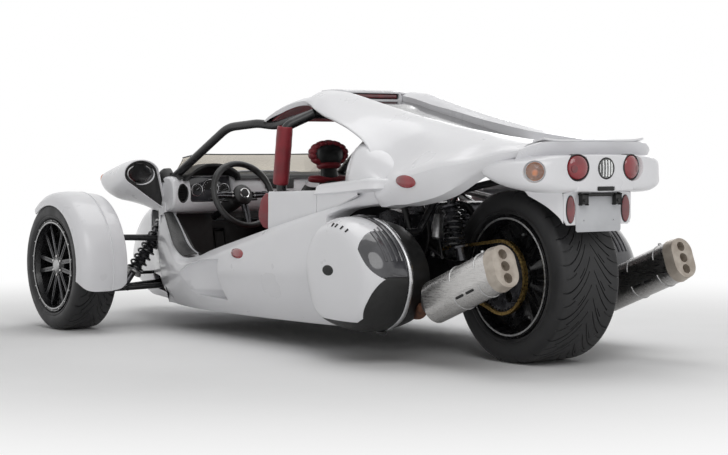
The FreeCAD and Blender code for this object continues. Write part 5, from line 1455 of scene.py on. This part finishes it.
def make_dash():
    dash = hull("dash", [[(2075 + (x - 2075) * squeeze, y, 620 + (z - 620) * squeeze)
                          for x, z in DASH_SECTION]
                         for y, squeeze in ((-500, 0.84), (-492, 0.93), (-430, 1), (-250, 1),
                                            (-60, 0.96), (60, 0.96), (250, 1), (430, 1),
                                            (492, 0.93), (500, 0.84))], corners_along=(1, 8))
    cut(dash, block("cluster_bay", (1960, 184, 584), (2030, 416, 720), 16, 4))
    for y in (-VENT_Y, VENT_Y):
        bay = lathe("vent_bay", [(0, 60), (29, 60), (29, -22), (0, -22)], spot(2000, y, VENT_Z),
                    (-1, 0, 0), 40)
        cut(dash, stretched(bay, VENT_Z, VENT_TALL))
    dress(edged(dash, 2, 40), "white", nodes=("dashboard",))
    rings = [[(x, 300 + (y - 254) * grow, low + (z - 684) * grow) for y, z in HOOD_SECTION]
             for x, low, grow in ((2108, 700, 0.5), (2080, 690, 0.86), (2040, 684, 1.0),
                                  (1990, 682, 1.04), (1958, 684, 1.02))]
    hood = hull("dash_hood", rings, along=4, corners_around=(0, 8))
    hollow = [[(x - 12, 300 + (y - 300) * 0.93, 676 + (z - 680) * 0.9) for x, y, z in ring]
              for ring in rings[1:]]
    hollow.append([(1900, 300 + (y - 300) * 0.95, 676 + (z - 680) * 0.92) for x, y, z in rings[-1]])
    cut(hood, hull("hood_hollow", hollow))
    dress(edged(hood, 1.5, 45), "satin")
    pads = [hull("pad", [[(x, y, z) for x, z in (
        (2118, 700), (2118, 712), (2060, 720), (2006, 712), (1990, 696), (2000, 690))]
        for y in (low, low + 8, high - 8, high)]) for low, high in ((-430, 140), (450, 470))]
    dress(joined("dash_pads", pads), "satin")
    cluster = plate("gauge_cluster", [spot(1996, 188, 588), spot(1996, 412, 588),
                                      spot(2020, 412, 702), spot(2020, 188, 702)],
                    (0.006, 0, -0.001), 2)
    dress(cluster, "smoke")
    make_dials()
    for sign in (1, -1):
        y = sign * VENT_Y
        louvre = [stretched(lathe("vent_ring", [(24, -18), (24, 3), (28, 5), (31, 1), (30, -18)],
                                  spot(1994, y, VENT_Z), (-1, 0, 0), 40, closed=True),
                            VENT_Z, VENT_TALL)]
        for z in range(VENT_Z - 24, VENT_Z + 25, 8):
            louvre.append(block("slat", (1994, y - 22, z - 1), (2006, y + 22, z + 1), 0.6, 1))
        louvre.append(stretched(lathe("vent_back", [(0, 0), (25, 0), (25, -3), (0, -3)],
                                      spot(2010, y, VENT_Z), (-1, 0, 0), 32), VENT_Z, VENT_TALL))
        dress(joined("dash_vent", louvre), "satin")
    keys = [block("key", (1980, y, 612), (1988, y + 24, 630), 2.5, 2) for y in range(-200, 5, 34)]
    keys.append(block("screen_frame", (1979, -150, 642), (1988, 10, 692), 4, 3))
    dress(joined("dash_keys", keys), "satin")
    dress(block("glovebox_line", (1981.5, -372, 600), (1984, -220, 678), 10, 4), "white")


def make_jambs():
    for name, sign in SIDES:
        rows = [[(x, sign * yo, zo), (x - 3, sign * (yo - 3), zo + 4),
                 (x - 8, sign * (yo + yi) / 2, (zo + zi) / 2 + 8), (x - 6, sign * (yi + 3), zi + 4),
                 (x, sign * yi, zi)] for x, yo, zo, yi, zi in JAMB_LINE]
        dress(panel(name + "_jamb", rows, along=5, across=3, thick=-4), "speckle")
        inner = [spot(x - 7, sign * (yi + 1), zi + 5) for x, yo, zo, yi, zi in JAMB_LINE]
        dress(tube(name + "_jamb_seal", inner, 3.6, 8, 5), "plate")
        sill = [spot(x, sign * 541, z) for x, z in ((1800, 336), (1700, 338), (1620, 358),
                                                    (1541, 379), (1430, 404), (1325, 427),
                                                    (1210, 457), (1096, 484))]
        dress(tube(name + "_sill_seal", sill, 4.5, 8, 5), "satin")
        post = hull(name + "_scuttle", [[(x, sign * y, z) for x, y, z in ring] for ring in (
            ((2130, 448, 520), (2130, 506, 520), (2072, 508, 526), (2062, 448, 526)),
            ((2130, 447, 570), (2130, 504, 570), (2072, 502, 572), (2062, 447, 572)),
            ((2134, 444, 620), (2134, 496, 620), (2072, 494, 620), (2064, 444, 620)),
            ((2138, 440, 690), (2138, 486, 690), (2092, 484, 694), (2070, 440, 694)),
            ((2138, 440, 704), (2134, 470, 704), (2100, 470, 706), (2076, 440, 706)))], around=3,
                    corners_around=(0, 1, 2, 3))
        dress(edged(post, 3, 40), "white")
        foot = hull(name + "_mirror_gasket", [[(x, sign * y, z) for x, y, z in ring] for ring in (
            ((2150, 452, 690), (2150, 500, 676), (2080, 500, 676), (2072, 452, 692)),
            ((2146, 452, 726), (2140, 496, 722), (2096, 494, 716), (2086, 452, 722)),
            ((2130, 454, 742), (2126, 480, 740), (2110, 480, 738), (2104, 454, 740)))], around=3)
        dress(foot, "satin")
        knob = lathe(name + "_scuttle_lock", [(0, 5), (6, 5), (8, 3), (8, -6), (0, -6)],
                     spot(2069, sign * 492, 588), (-1, sign * 0.1, 0), 20)
        dress(knob, "satin")


def make_steering_wheel():
    """Wraps the steering wheel: a thicker shaped rim, a domed centre and bright lower spokes."""
    tilt = math.radians(22)
    middle = spot(1812, 235, 620)
    ahead = Vector((math.cos(tilt), 0, -math.sin(tilt)))
    up = Vector((math.sin(tilt), 0, math.cos(tilt)))
    across = Vector((0, 1, 0))

    def out(degrees):
        return across * math.cos(math.radians(degrees)) + up * math.sin(math.radians(degrees))

    grips = [tube("grip", [middle + out(a) * 0.152 for a in np.linspace(start, start + 50, 7)],
                  16.2, 14, 4, radii=[14, 15.6, 16.2, 16.2, 16.2, 15.6, 14]) for start in (20, 110)]
    dress(joined("wheel_grips", grips), "grip", "steering_wheel")
    cap = lathe("wheel_centre", [(0, 16), (14, 15.6), (26, 14), (38, 9), (47, 1), (49, -8),
                                 (46, -16), (0, -16)],
                middle - ahead * 0.004, -ahead, 56)
    dress(cap, "satin", "steering_wheel")
    ring = lathe("wheel_centre_ring", [(19, 15.4), (21, 17), (24, 16.6), (25, 14.6), (19, 14)],
                 middle - ahead * 0.004, -ahead, 48, closed=True)
    dress(ring, "chrome", "steering_wheel")
    trims = []
    for degrees, wide in ((0, 17), (180, 17), (270, 20)):
        way = out(degrees)
        side = ahead.cross(way)
        line = [middle + way * 0.05 - ahead * 0.001, middle + way * 0.095 - ahead * 0.003,
                middle + way * 0.142]
        for shift in (-wide * 0.45, wide * 0.45):
            trims.append(tube("spoke_trim", [p + side * (shift / 1000) * (1.1 - 2.2 * i / 10)
                                             for i, p in enumerate(line)], 4.4, 10, 4))
    dress(joined("wheel_spoke_trims", trims), "rim_edge", "steering_wheel")
    places = [middle + across * (y * 1.7 / 1000) + up * (z / 1000) - ahead * 0.005
              for y in (34, -34) for z in (8, -8)]
    buttons = studs("wheel_buttons", [(0, 4), (4, 3.6), (5.2, 2), (5.2, -6), (0, -6)], places,
                    -ahead, 16)
    dress(buttons, "alloy", "steering_wheel")
    shroud = hull("column_shroud", [[tuple(((middle + ahead * d + across * (y * g / 1000)
                                             + up * (z * g / 1000))
                                            - Vector((REAR_X, 0, 0))) * 1000) for y, z in (
        (-34, 0), (-26, 26), (0, 36), (26, 26), (34, 0), (26, -26), (0, -34), (-26, -26))]
        for d, g in ((0.06, 0.9), (0.075, 1.0), (0.13, 1.0), (0.18, 0.86))])
    dress(shroud, "satin")
    root = middle + ahead * 0.09
    stalks = [tube("stalk", [root, root + across * (sign * 0.06) + up * 0.004,
                             root + across * (sign * 0.125) + up * (rise / 1000)], 5, 10, 4,
                   radii=[5, 4.4, 6.4]) for sign, rise in ((1, 14), (-1, 10))]
    dress(joined("column_stalks", stalks), "satin")


def make_screen():
    rows = []
    for y, low_x, high_x in ((-428, 2118, 2036), (-330, 2160, 2064), (-180, 2190, 2086),
                             (0, 2203, 2098), (180, 2190, 2086), (330, 2160, 2064),
                             (428, 2118, 2036)):
        end = abs(y) > 400
        rows.append([(low_x, y, 706), (low_x - 34, y, 742), (high_x + 8, y, 778 if end else 788),
                     (high_x, y, 790 if end else 805)])
    dress(panel("screen", rows, along=6, thick=5), "screen", nodes=("windscreen",))
    edge = [spot(row[0][0] - 3, row[0][1], 708) for row in rows]
    dress(tube("screen_seal", edge, 5.5, 8, 6), "satin")
    rim = [spot(row[-1][0] - 2, row[-1][1], row[-1][2]) for row in rows]
    dress(tube("screen_edge", rim, 3.0, 8, 6), "smoke")


def make_dials():
    """Three round dials, each with its ring, face, marks and needle."""
    way = Vector((-0.974, 0, -0.02))
    for index, (y, z, size) in enumerate(DIALS):
        centre = spot(1996 + (z - 588) * 0.21, y, z)
        ring = [(size, 2), (size + 1, 7), (size + 4, 6), (size + 5, 0), (size, 0)]
        dress(lathe("dial_ring", ring, centre, way, 40, closed=True), "chrome_satin")
        dress(lathe("dial_face", [(0, 1.5), (size, 1.5), (size, 0), (0, 0)], centre, way, 40),
              "dark")
        marks = []
        for step in range(11):
            turn = math.radians(220 - step * 26)
            place = centre + Vector((-0.0017, math.cos(turn) * size * MARK_SHARE / 1000,
                                     math.sin(turn) * size * MARK_SHARE / 1000))
            end = place + Vector((0, math.cos(turn), math.sin(turn))) * (-size * 0.14 / 1000)
            marks.append(tube("mark", [place, end], 0.78, 6, 1))
        needle = math.radians(200 - index * 30)
        tip = (-0.003, math.cos(needle) * size * 0.75 / 1000, math.sin(needle) * size * 0.75 / 1000)
        marks.append(tube("needle", [centre + Vector((-0.003, 0, 0)), centre + Vector(tip)], 0.9, 6,
                          1))
        dress(joined("dial_marks", marks), "plate")


def make_pedals():
    """Three drilled metal pads on bent arms, and the gear lever in its boot."""
    pads, arms = [], []
    for y, wide in ((165, 46), (105, 46), (48, 44)):
        low, high = spot(2287, y - wide / 2, 190), spot(2257, y - wide / 2, 275)
        side_way = Vector((0, wide / 1000, 0))
        pad = plate("pedal_pad", [low, low + side_way, high + side_way, high], (0.006, 0, 0.002),
                    2.5, 3)
        for share in (0.2, 0.5, 0.8):
            for shift in (-11, 11):
                middle = low.lerp(high, share)
                hole = Vector((middle.x, (y + shift) / 1000, middle.z))
                cut(pad, lathe("hole", [(0, 20), (5, 20), (5, -20), (0, -20)], hole, (1, 0, 0.35),
                               14))
        pads.append(pad)
        arms.append(tube("pedal_arm", [spot(x, y, z) for x, z in (
            (2270, 250), (2284, 320), (2312, 428), (2330, 436), (2362, 433))], 6, 10, 5))
    arms.append(tube("pedal_shaft", [spot(2350, 32, 436), spot(2350, 182, 436)], 8, 12, 2))
    dress(joined("pedal_pads", pads), "alloy", nodes=("pedals",))
    dress(joined("pedal_arms", arms), "satin")
    lever = [tube("lever", [spot(1640, 12, 250), spot(1640, 10, 330), spot(1628, 8, 396)], 8, 12,
                  4),
             lathe("knob", [(0, 24), (13, 21), (20, 10), (21, -4), (14, -18), (0, -22)],
                   spot(1626, 8, 412), (-0.1, 0, 1), 32)]
    dress(joined("gear_lever", lever), "satin")
    boot = hull("gear_boot", [[(1640 + wide * c, 12 + wide * q, z) for c, q in circle(12)]
                              for z, wide in ((236, 62), (252, 56), (262, 42), (274, 44), (284, 30),
                                              (296, 31), (308, 16))], around=3)
    dress(boot, "leather")


class CAR_OT_dash(bpy.types.Operator):
    """Mould the dashboard, its hood, dials and vents, and the tinted screen"""
    bl_idname = "car.dash"
    bl_label = "Dashboard and screen"

    def execute(self, context):
        make_dash()
        make_screen()
        return {"FINISHED"}


class CAR_OT_cockpit(bpy.types.Operator):
    """Fit the cockpit's jambs, seals, pedals, gear lever and steering wheel trim"""
    bl_idname = "car.cockpit"
    bl_label = "Cockpit fittings"

    def execute(self, context):
        make_jambs()
        make_pedals()
        make_steering_wheel()
        return {"FINISHED"}


# ------------------------------------------------------------------ soft goods

def pillow_rings(start, end, widths, depths, middle, lean=0.0, power=0.45):
    """Rings of a long cushion between two places (station, height); widths and depths along it."""
    (x0, z0), (x1, z1) = start, end
    length = math.hypot(x1 - x0, z1 - z0)
    way = ((x1 - x0) / length, (z1 - z0) / length)
    normal = (-way[1], way[0])
    rings = []
    for i, (width, depth) in enumerate(zip(widths, depths)):
        share = i / (len(widths) - 1)
        cx, cz = x0 + (x1 - x0) * share, z0 + (z1 - z0) * share
        ring = []
        for c, q in circle(20):
            across, rise = width * squared(c, power), depth * squared(q, power)
            ring.append((cx + normal[0] * rise, middle + across + lean * rise,
                         cz + normal[1] * rise))
        rings.append(ring)
    return rings


PLEATS = 14


def stuffed(obj, cap):
    """Swells a closed form as stuffing does, by pressed cloth, up to a cap in mm."""
    modify(obj, "REMESH", mode="VOXEL", voxel_size=0.0075)
    settle(obj)
    rest = np.empty(len(obj.data.vertices) * 3)
    obj.data.vertices.foreach_get("co", rest)
    cloth = obj.modifiers.new("cloth", "CLOTH")
    cloth.settings.use_pressure = True
    cloth.settings.uniform_pressure_force = 4.0
    cloth.settings.effector_weights.gravity = 0
    scene = bpy.context.scene
    for frame_number in range(1, 21):
        scene.frame_set(frame_number)
    settle(obj)
    scene.frame_set(1)
    swollen = np.empty_like(rest)
    obj.data.vertices.foreach_get("co", swollen)
    step = (swollen - rest).reshape(-1, 3)
    far = np.linalg.norm(step, axis=1, keepdims=True)
    step *= np.minimum(1.0, (cap / 1000) / np.maximum(far, 1e-9))
    obj.data.vertices.foreach_set("co", (rest.reshape(-1, 3) + step).ravel())
    modify(obj, "SMOOTH", iterations=3, factor=0.5)
    modify(obj, "SUBSURF", levels=1, render_levels=1)
    return settle(obj)


def cushion(name, rings, cap=None, nodes=(), finish_name="leather"):
    """A padded piece; with a cap, in millimetres, it is swollen by stuffing up to that."""
    obj = hull(name, rings, around=2)
    if cap:
        stuffed(obj, cap)
    dress(obj, finish_name, nodes=nodes,
          crisp=60)


def make_seat(side, sign):
    middle = sign * 226
    base = pillow_rings((1330, 186), (1736, 226), (60, 118, 132, 136, 136, 132, 118, 60),
                        (18, 34, 38, 38, 38, 38, 34, 18), middle)
    cushion(side + "_seat_cushion", base, 7, ("seats",) if sign > 0 else ())
    back = pillow_rings((1286, 222), (1090, 672), (60, 112, 122, 124, 122, 116, 104, 56),
                        (14, 30, 34, 34, 32, 30, 28, 14), middle)
    cushion(side + "_seat_back", back, 7)
    for hand in (1, -1):
        edge, place = middle + hand * 164, "out" if hand * sign > 0 else "in"
        low = pillow_rings((1316, 206), (1734, 238), (10, 26, 30, 32, 32, 30, 26, 12),
                           (16, 40, 48, 50, 48, 44, 38, 16), edge, lean=hand * 0.12)
        cushion("%s_seat_side_%s" % (side, place), low)
        high = pillow_rings((1284, 236), (1112, 640), (10, 26, 31, 33, 34, 34, 28, 12),
                            (20, 46, 56, 56, 60, 62, 50, 22), edge, lean=-hand * 0.15)
        cushion("%s_seat_wing_%s" % (side, place), high)
        for rings, corner in ((low, 5), (high, 15)):
            cord = [spot(*ring[corner]) for ring in rings[1:-1]]
            dress(tube(side + "_seat_piping", cord, 3.4, 8, 5), "satin")
    for share in (0.27, 0.45, 0.63, 0.8):
        x, z = 1286 - 196 * share, 222 + 450 * share
        line = [spot(x + 36, middle + y, z + 15) for y in (-112, -60, 0, 60, 112)]
        dress(tube(side + "_seat_seam", line, 2.6, 6, 4), "satin")
    shell_rows = []
    for share, half, wrap in ((0.0, 170, 20), (0.25, 184, 60), (0.5, 190, 66), (0.75, 184, 64),
                              (0.97, 150, 40)):
        x, z = 1262 - 204 * share, 196 + 482 * share
        shell_rows.append([(x + wrap - 40, middle - half, z + 12), (x - 42, middle - half + 16, z),
                           (x - 52, middle, z - 4), (x - 42, middle + half - 16, z),
                           (x + wrap - 40, middle + half, z + 12)])
    dress(panel(side + "_seat_shell", shell_rows, along=5, across=5, thick=6), "satin")
    cushion(side + "_door_bolster", pillow_rings((1196, 492), (1172, 636), (14, 23, 25, 25, 23, 14),
                                                 (24, 52, 56, 50, 44, 22), sign * 480))


def make_head_restraint(side, sign):
    """A pleated ring round a padded centre, on its collar and stem, over a shoulder pad."""
    cx, cy, cz = 1088, sign * 240, 806
    verts = []
    for step in range(PLEATS * 8):
        a = 2 * math.pi * step / (PLEATS * 8)
        puff = 1 - 0.22 * abs(math.cos(a * PLEATS / 2)) ** 10
        for c, q in circle(10):
            away = 1 + 0.21 * puff * c
            verts.append(spot(cx + 25 * puff * q * 0.9, cy + 82 * away * math.cos(a),
                              cz + 47 * (away + 0.06 * c) * math.sin(a)))
    ring = sealed(mesh_object(side + "_head_ring", verts, looped_faces(PLEATS * 8, 10)))
    dress(ring, "leather", nodes=("head_restraints",) if sign > 0 else (), crisp=60)
    cushion(side + "_head_centre", pillow_rings((1084, 750), (1090, 850), (40, 62, 70, 72, 66, 40),
                                                (14, 24, 28, 28, 24, 14), cy, power=0.7), 4,
            finish_name="grip")
    cushion(side + "_head_collar", pillow_rings((1087, 768), (1084, 742), (44, 52, 52, 44),
                                                (24, 33, 33, 24), cy, power=0.6))
    stem = hull(side + "_head_stem", [[(x + 14 * c * wide, cy + 44 * q * wide, z)
                                       for c, q in circle(12)]
                                      for x, z, wide in ((1086, 770, 0.9), (1084, 730, 0.95),
                                                         (1078, 700, 1.1), (1072, 676, 1.3),
                                                         (1068, 660, 1.35))], around=3)
    dress(stem, "satin")
    cushion(side + "_shoulder_pad", pillow_rings((1060, 690), (1110, 706), (60, 96, 104, 96, 60),
                                                 (9, 14, 16, 14, 9), cy, power=0.5))


def make_sleeves():
    folds = bpy.data.textures.new("sleeve_folds", "CLOUDS")
    folds.noise_scale = 0.03
    for side, sign in SIDES:
        start = spot(1093, sign * 478, 676)
        way = Vector((-46, 0, 306)).normalized()
        profile = [(24, 2), (28, 0), (32.5, 4), (34, 14), (34.4, 40), (33.8, 76), (34.4, 120),
                   (33.8, 170), (34.2, 215), (33.2, 238), (31.5, 246), (28, 249), (24, 247)]
        sleeve = lathe(side + "_hoop_sleeve", profile, start, way, 64, closed=True)
        modify(sleeve, "SUBSURF", levels=1, render_levels=1)
        modify(sleeve, "DISPLACE", texture=folds, strength=0.0022, mid_level=0.5)
        dress(settle(sleeve), "leather", nodes=("pillar_pads",) if sign > 0 else (), crisp=60)
        for turn in (0.35, 3.5):
            out = Vector((math.cos(turn), math.sin(turn) * sign, 0)) * 0.0342
            seam = [start + way * (d / 1000) + out for d in (6, 60, 120, 180, 244)]
            dress(tube(side + "_sleeve_seam", seam, 1.7, 6, 4), "leather")
            stitches = []
            for index in range(22):
                place = start + way * ((12 + index * 9.8) / 1000) + out * 1.02
                place += Vector((0.0, 0.0032 * sign, 0))
                stitches.append(tube("stitch", [place, place + way * 0.005], 0.7, 5, 1))
            dress(joined(side + "_sleeve_stitches", stitches), "dark")


class CAR_OT_seats(bpy.types.Operator):
    """Stuff the two seats, their wings, shells and head restraints"""
    bl_idname = "car.seats"
    bl_label = "Seats"

    def execute(self, context):
        for side, sign in SIDES:
            make_seat(side, sign)
            make_head_restraint(side, sign)
        return {"FINISHED"}


class CAR_OT_sleeves(bpy.types.Operator):
    """Wrap the padded sleeves round the roll hoop"""
    bl_idname = "car.sleeves"
    bl_label = "Hoop sleeves"

    def execute(self, context):
        make_sleeves()
        return {"FINISHED"}


# ------------------------------------------------------------------ engine, springs and silencers

def coil(name, foot, top, radius, wire, turns):
    """A coil spring wound round the line from foot to top."""
    way = (top - foot).normalized()
    side = way.orthogonal().normalized()
    up = way.cross(side)
    points = []
    for step in range(turns * 12 + 1):
        a = 2 * math.pi * step / 12
        points.append(foot.lerp(top, step / (turns * 12))
                      + (side * math.cos(a) + up * math.sin(a)) * (radius / 1000))
    dress(tube(name, points, wire, 8, 2), "rim")


def make_springs():
    for side, sign in SIDES:
        foot, top = spot(2294, sign * 612, 178.3), spot(2294, sign * 362.9, 510.6)
        coil(side + "_spring", foot.lerp(top, 0.24), foot.lerp(top, 0.86), 36, 5.2, 8)
        for share in (0.22, 0.88):
            collar = lathe(side + "_spring_collar", [(14, -6), (42, -6), (43, 0), (40, 5), (14, 5)],
                           foot.lerp(top, share), top - foot, 40, closed=True)
            dress(collar, "alloy")
    foot, top = spot(190, 262, 396), spot(240, 200, 626)
    coil("rear_spring", foot.lerp(top, 0.2), foot.lerp(top, 0.84), 35, 5.4, 7)
    reservoir = lathe("rear_damper_reservoir", [(0, 0), (17, 0), (20, 4), (20, 92), (17, 97),
                                                (0, 97)],
                      spot(300, 252, 470), (0.1, -0.2, 1), 32)
    dress(reservoir, "alloy")
    hose = [spot(306, 246, 566), spot(300, 236, 598), spot(272, 220, 610), spot(252, 214, 600)]
    dress(tube("rear_damper_hose", hose, 5, 10, 6), "satin")


def make_engine():
    """Finned heads, covers, a filler and hoses on the engine's rear and sides."""
    fins = []
    for step in range(9):
        z = 430 + step * 15
        fins.append(block("fin", (398, -178, z), (424, 70, z + 5), 2, 2))
        for near, far in ((228, 246), (-246, -228)):
            fins.append(block("fin", (452, near, z - 60), (700, far, z - 55), 2, 2))
    fins.append(block("head", (404, -160, 560), (640, 160, 608), 14, 4))
    dress(joined("engine_fins", fins), "rim_edge")
    covers = []
    for y, z, radius in ((138, 505, 48), (132, 380, 66), (-120, 350, 74), (0, 330, 40)):
        covers.append(lathe("cover", [(0, 26), (radius * 0.55, 25), (radius * 0.62, 20),
                                      (radius * 0.9, 18), (radius, 10), (radius, -6), (0, -6)],
                            spot(419, y, z), (-1, 0, 0), 48))
        for index in range(6):
            a = 2 * math.pi * index / 6 + 0.3
            covers.append(lathe("bolt", [(0, 15), (5, 14), (5.6, 12), (5.6, 0), (0, 0)],
                                spot(412, y + math.cos(a) * radius * 0.8,
                                     z + math.sin(a) * radius * 0.8),
                                (-1, 0, 0), 6))
    dress(joined("engine_covers", covers), "alloy")
    hoses = [tube("hose", [spot(*place) for place in places], size, 12, 6) for places, size in (
        (((430, 150, 590), (384, 160, 570), (366, 158, 520), (398, 140, 500)), 11),
        (((430, 60, 600), (372, 40, 590), (352, 10, 520), (380, -30, 452), (414, -60, 440)), 14),
        (((440, -120, 610), (380, -140, 600), (356, -170, 520), (390, -190, 430)), 9),
        (((470, 200, 600), (420, 214, 560), (404, 214, 470), (430, 222, 392)), 7))]
    dress(joined("engine_hoses", hoses), "satin")
    clips = [lathe("clip", [(11, -4), (15.5, -4), (15.5, 4), (11, 4)], spot(*place), way, 28,
                   closed=True)
             for place, way in (((378, 161, 556), (-0.6, 0, -1)),
                                ((362, 25, 558), (-0.3, -0.5, -1)),
                                ((370, -156, 566), (-0.5, -0.3, -1)))]
    dress(joined("hose_clips", clips), "chrome_satin")
    cover = hull("sprocket_guard", [[(x, 150, low), (x, 184, low + 4), (x, 188, (low + high) / 2),
                                     (x, 184, high - 4), (x, 150, high)] for x, low, high in (
                                         (380, 286, 420), (400, 270, 440), (480, 262, 452),
                                         (540, 280, 440))], around=3)
    dress(cover, "satin")
    braces = [tube("brace", [spot(*a), spot(*b)], size, 12, 2) for a, b, size in (
        ((300, 150, 640), (420, 190, 470), 8), ((300, -150, 640), (420, -190, 470), 8),
        ((250, 262, 400), (430, 205, 440), 7), ((330, 236, 560), (250, 262, 400), 5))]
    dress(joined("engine_braces", braces), "black")


def make_silencer_trim():
    """A strap with its bolts on each silencer, and the slots of its shield as dark bars: painted
    shade.
    """
    way, up = Vector((-0.9367, 0, 0.3501)), Vector((0.3501, 0, 0.9367))
    for side, sign in SIDES:
        tip = spot(-314, sign * 440, 385.8)
        pieces = [tube("strap", [tip - way * (back / 1000) + Vector((0, 0.0567 * c, 0))
                                 + up * (0.0567 * q + math.copysign(0.026, q))
                                 for c, q in circle(40)],
                       2.6, 8, 2) for back in (60, 214)]
        pieces.append(lathe("strap_bolt", [(0, 7), (6, 6.5), (7, 5), (7, -8), (0, -8)],
                            tip - way * 0.06 + up * 0.086, up, 6))
        dress(joined(side + "_silencer_straps", pieces), "alloy")
        # dark bars for the shield's slots: painted shade
        slots = []
        for back in (96, 160):
            for out in (sign * 0.052, -sign * 0.052):
                end = tip - way * (back / 1000) + Vector((0, out, 0)) - up * 0.042
                slots.append(tube("slot", [end, end - way * 0.042], 5.5, 12, 2))
        dress(joined(side + "_silencer_slot_shade", slots), "dark")


class CAR_OT_driveline(bpy.types.Operator):
    """Add the springs, the engine's covers and hoses, and the silencers' straps"""
    bl_idname = "car.driveline"
    bl_label = "Driveline"

    def execute(self, context):
        make_springs()
        make_engine()
        make_silencer_trim()
        return {"FINISHED"}


class CAR_PT_panel(bpy.types.Panel):
    """The car's settings and pieces"""
    bl_idname = "CAR_PT_panel"
    bl_label = "Three-wheeled car"
    bl_space_type = "VIEW_3D"
    bl_region_type = "UI"
    bl_category = "Three-wheeler"

    def draw(self, context):
        column = self.layout.column()
        for settings in (context.scene.car_colours, context.scene.car_sizes):
            for name in settings.bl_rna.properties.keys():
                if name not in ("rna_type", "name"):
                    column.prop(settings, name)
        for operator in OPERATORS:
            column.operator(operator.bl_idname)


OPERATORS = (
    CAR_OT_studio,
    CAR_OT_frame_finishes,
    CAR_OT_nose,
    CAR_OT_flanks,
    CAR_OT_roof,
    CAR_OT_roof_legs,
    CAR_OT_mirrors,
    CAR_OT_tail,
    CAR_OT_lamps,
    CAR_OT_tyres,
    CAR_OT_wheels,
    CAR_OT_fenders,
    CAR_OT_cases,
    CAR_OT_dash,
    CAR_OT_cockpit,
    CAR_OT_seats,
    CAR_OT_sleeves,
    CAR_OT_driveline,
)


def register():
    for cls in (CarColours, CarSizes) + OPERATORS + (CAR_PT_panel,):
        bpy.utils.register_class(cls)
    bpy.types.Scene.car_colours = bpy.props.PointerProperty(type=CarColours)
    bpy.types.Scene.car_sizes = bpy.props.PointerProperty(type=CarSizes)


def unregister():
    del bpy.types.Scene.car_sizes
    del bpy.types.Scene.car_colours
    for cls in reversed((CarColours, CarSizes) + OPERATORS + (CAR_PT_panel,)):
        bpy.utils.unregister_class(cls)


def main():
    """Registers the add-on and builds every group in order."""
    register()
    for operator in OPERATORS:
        group, name = operator.bl_idname.split(".")
        getattr(getattr(bpy.ops, group), name)()


if __name__ == "__main__":
    main()
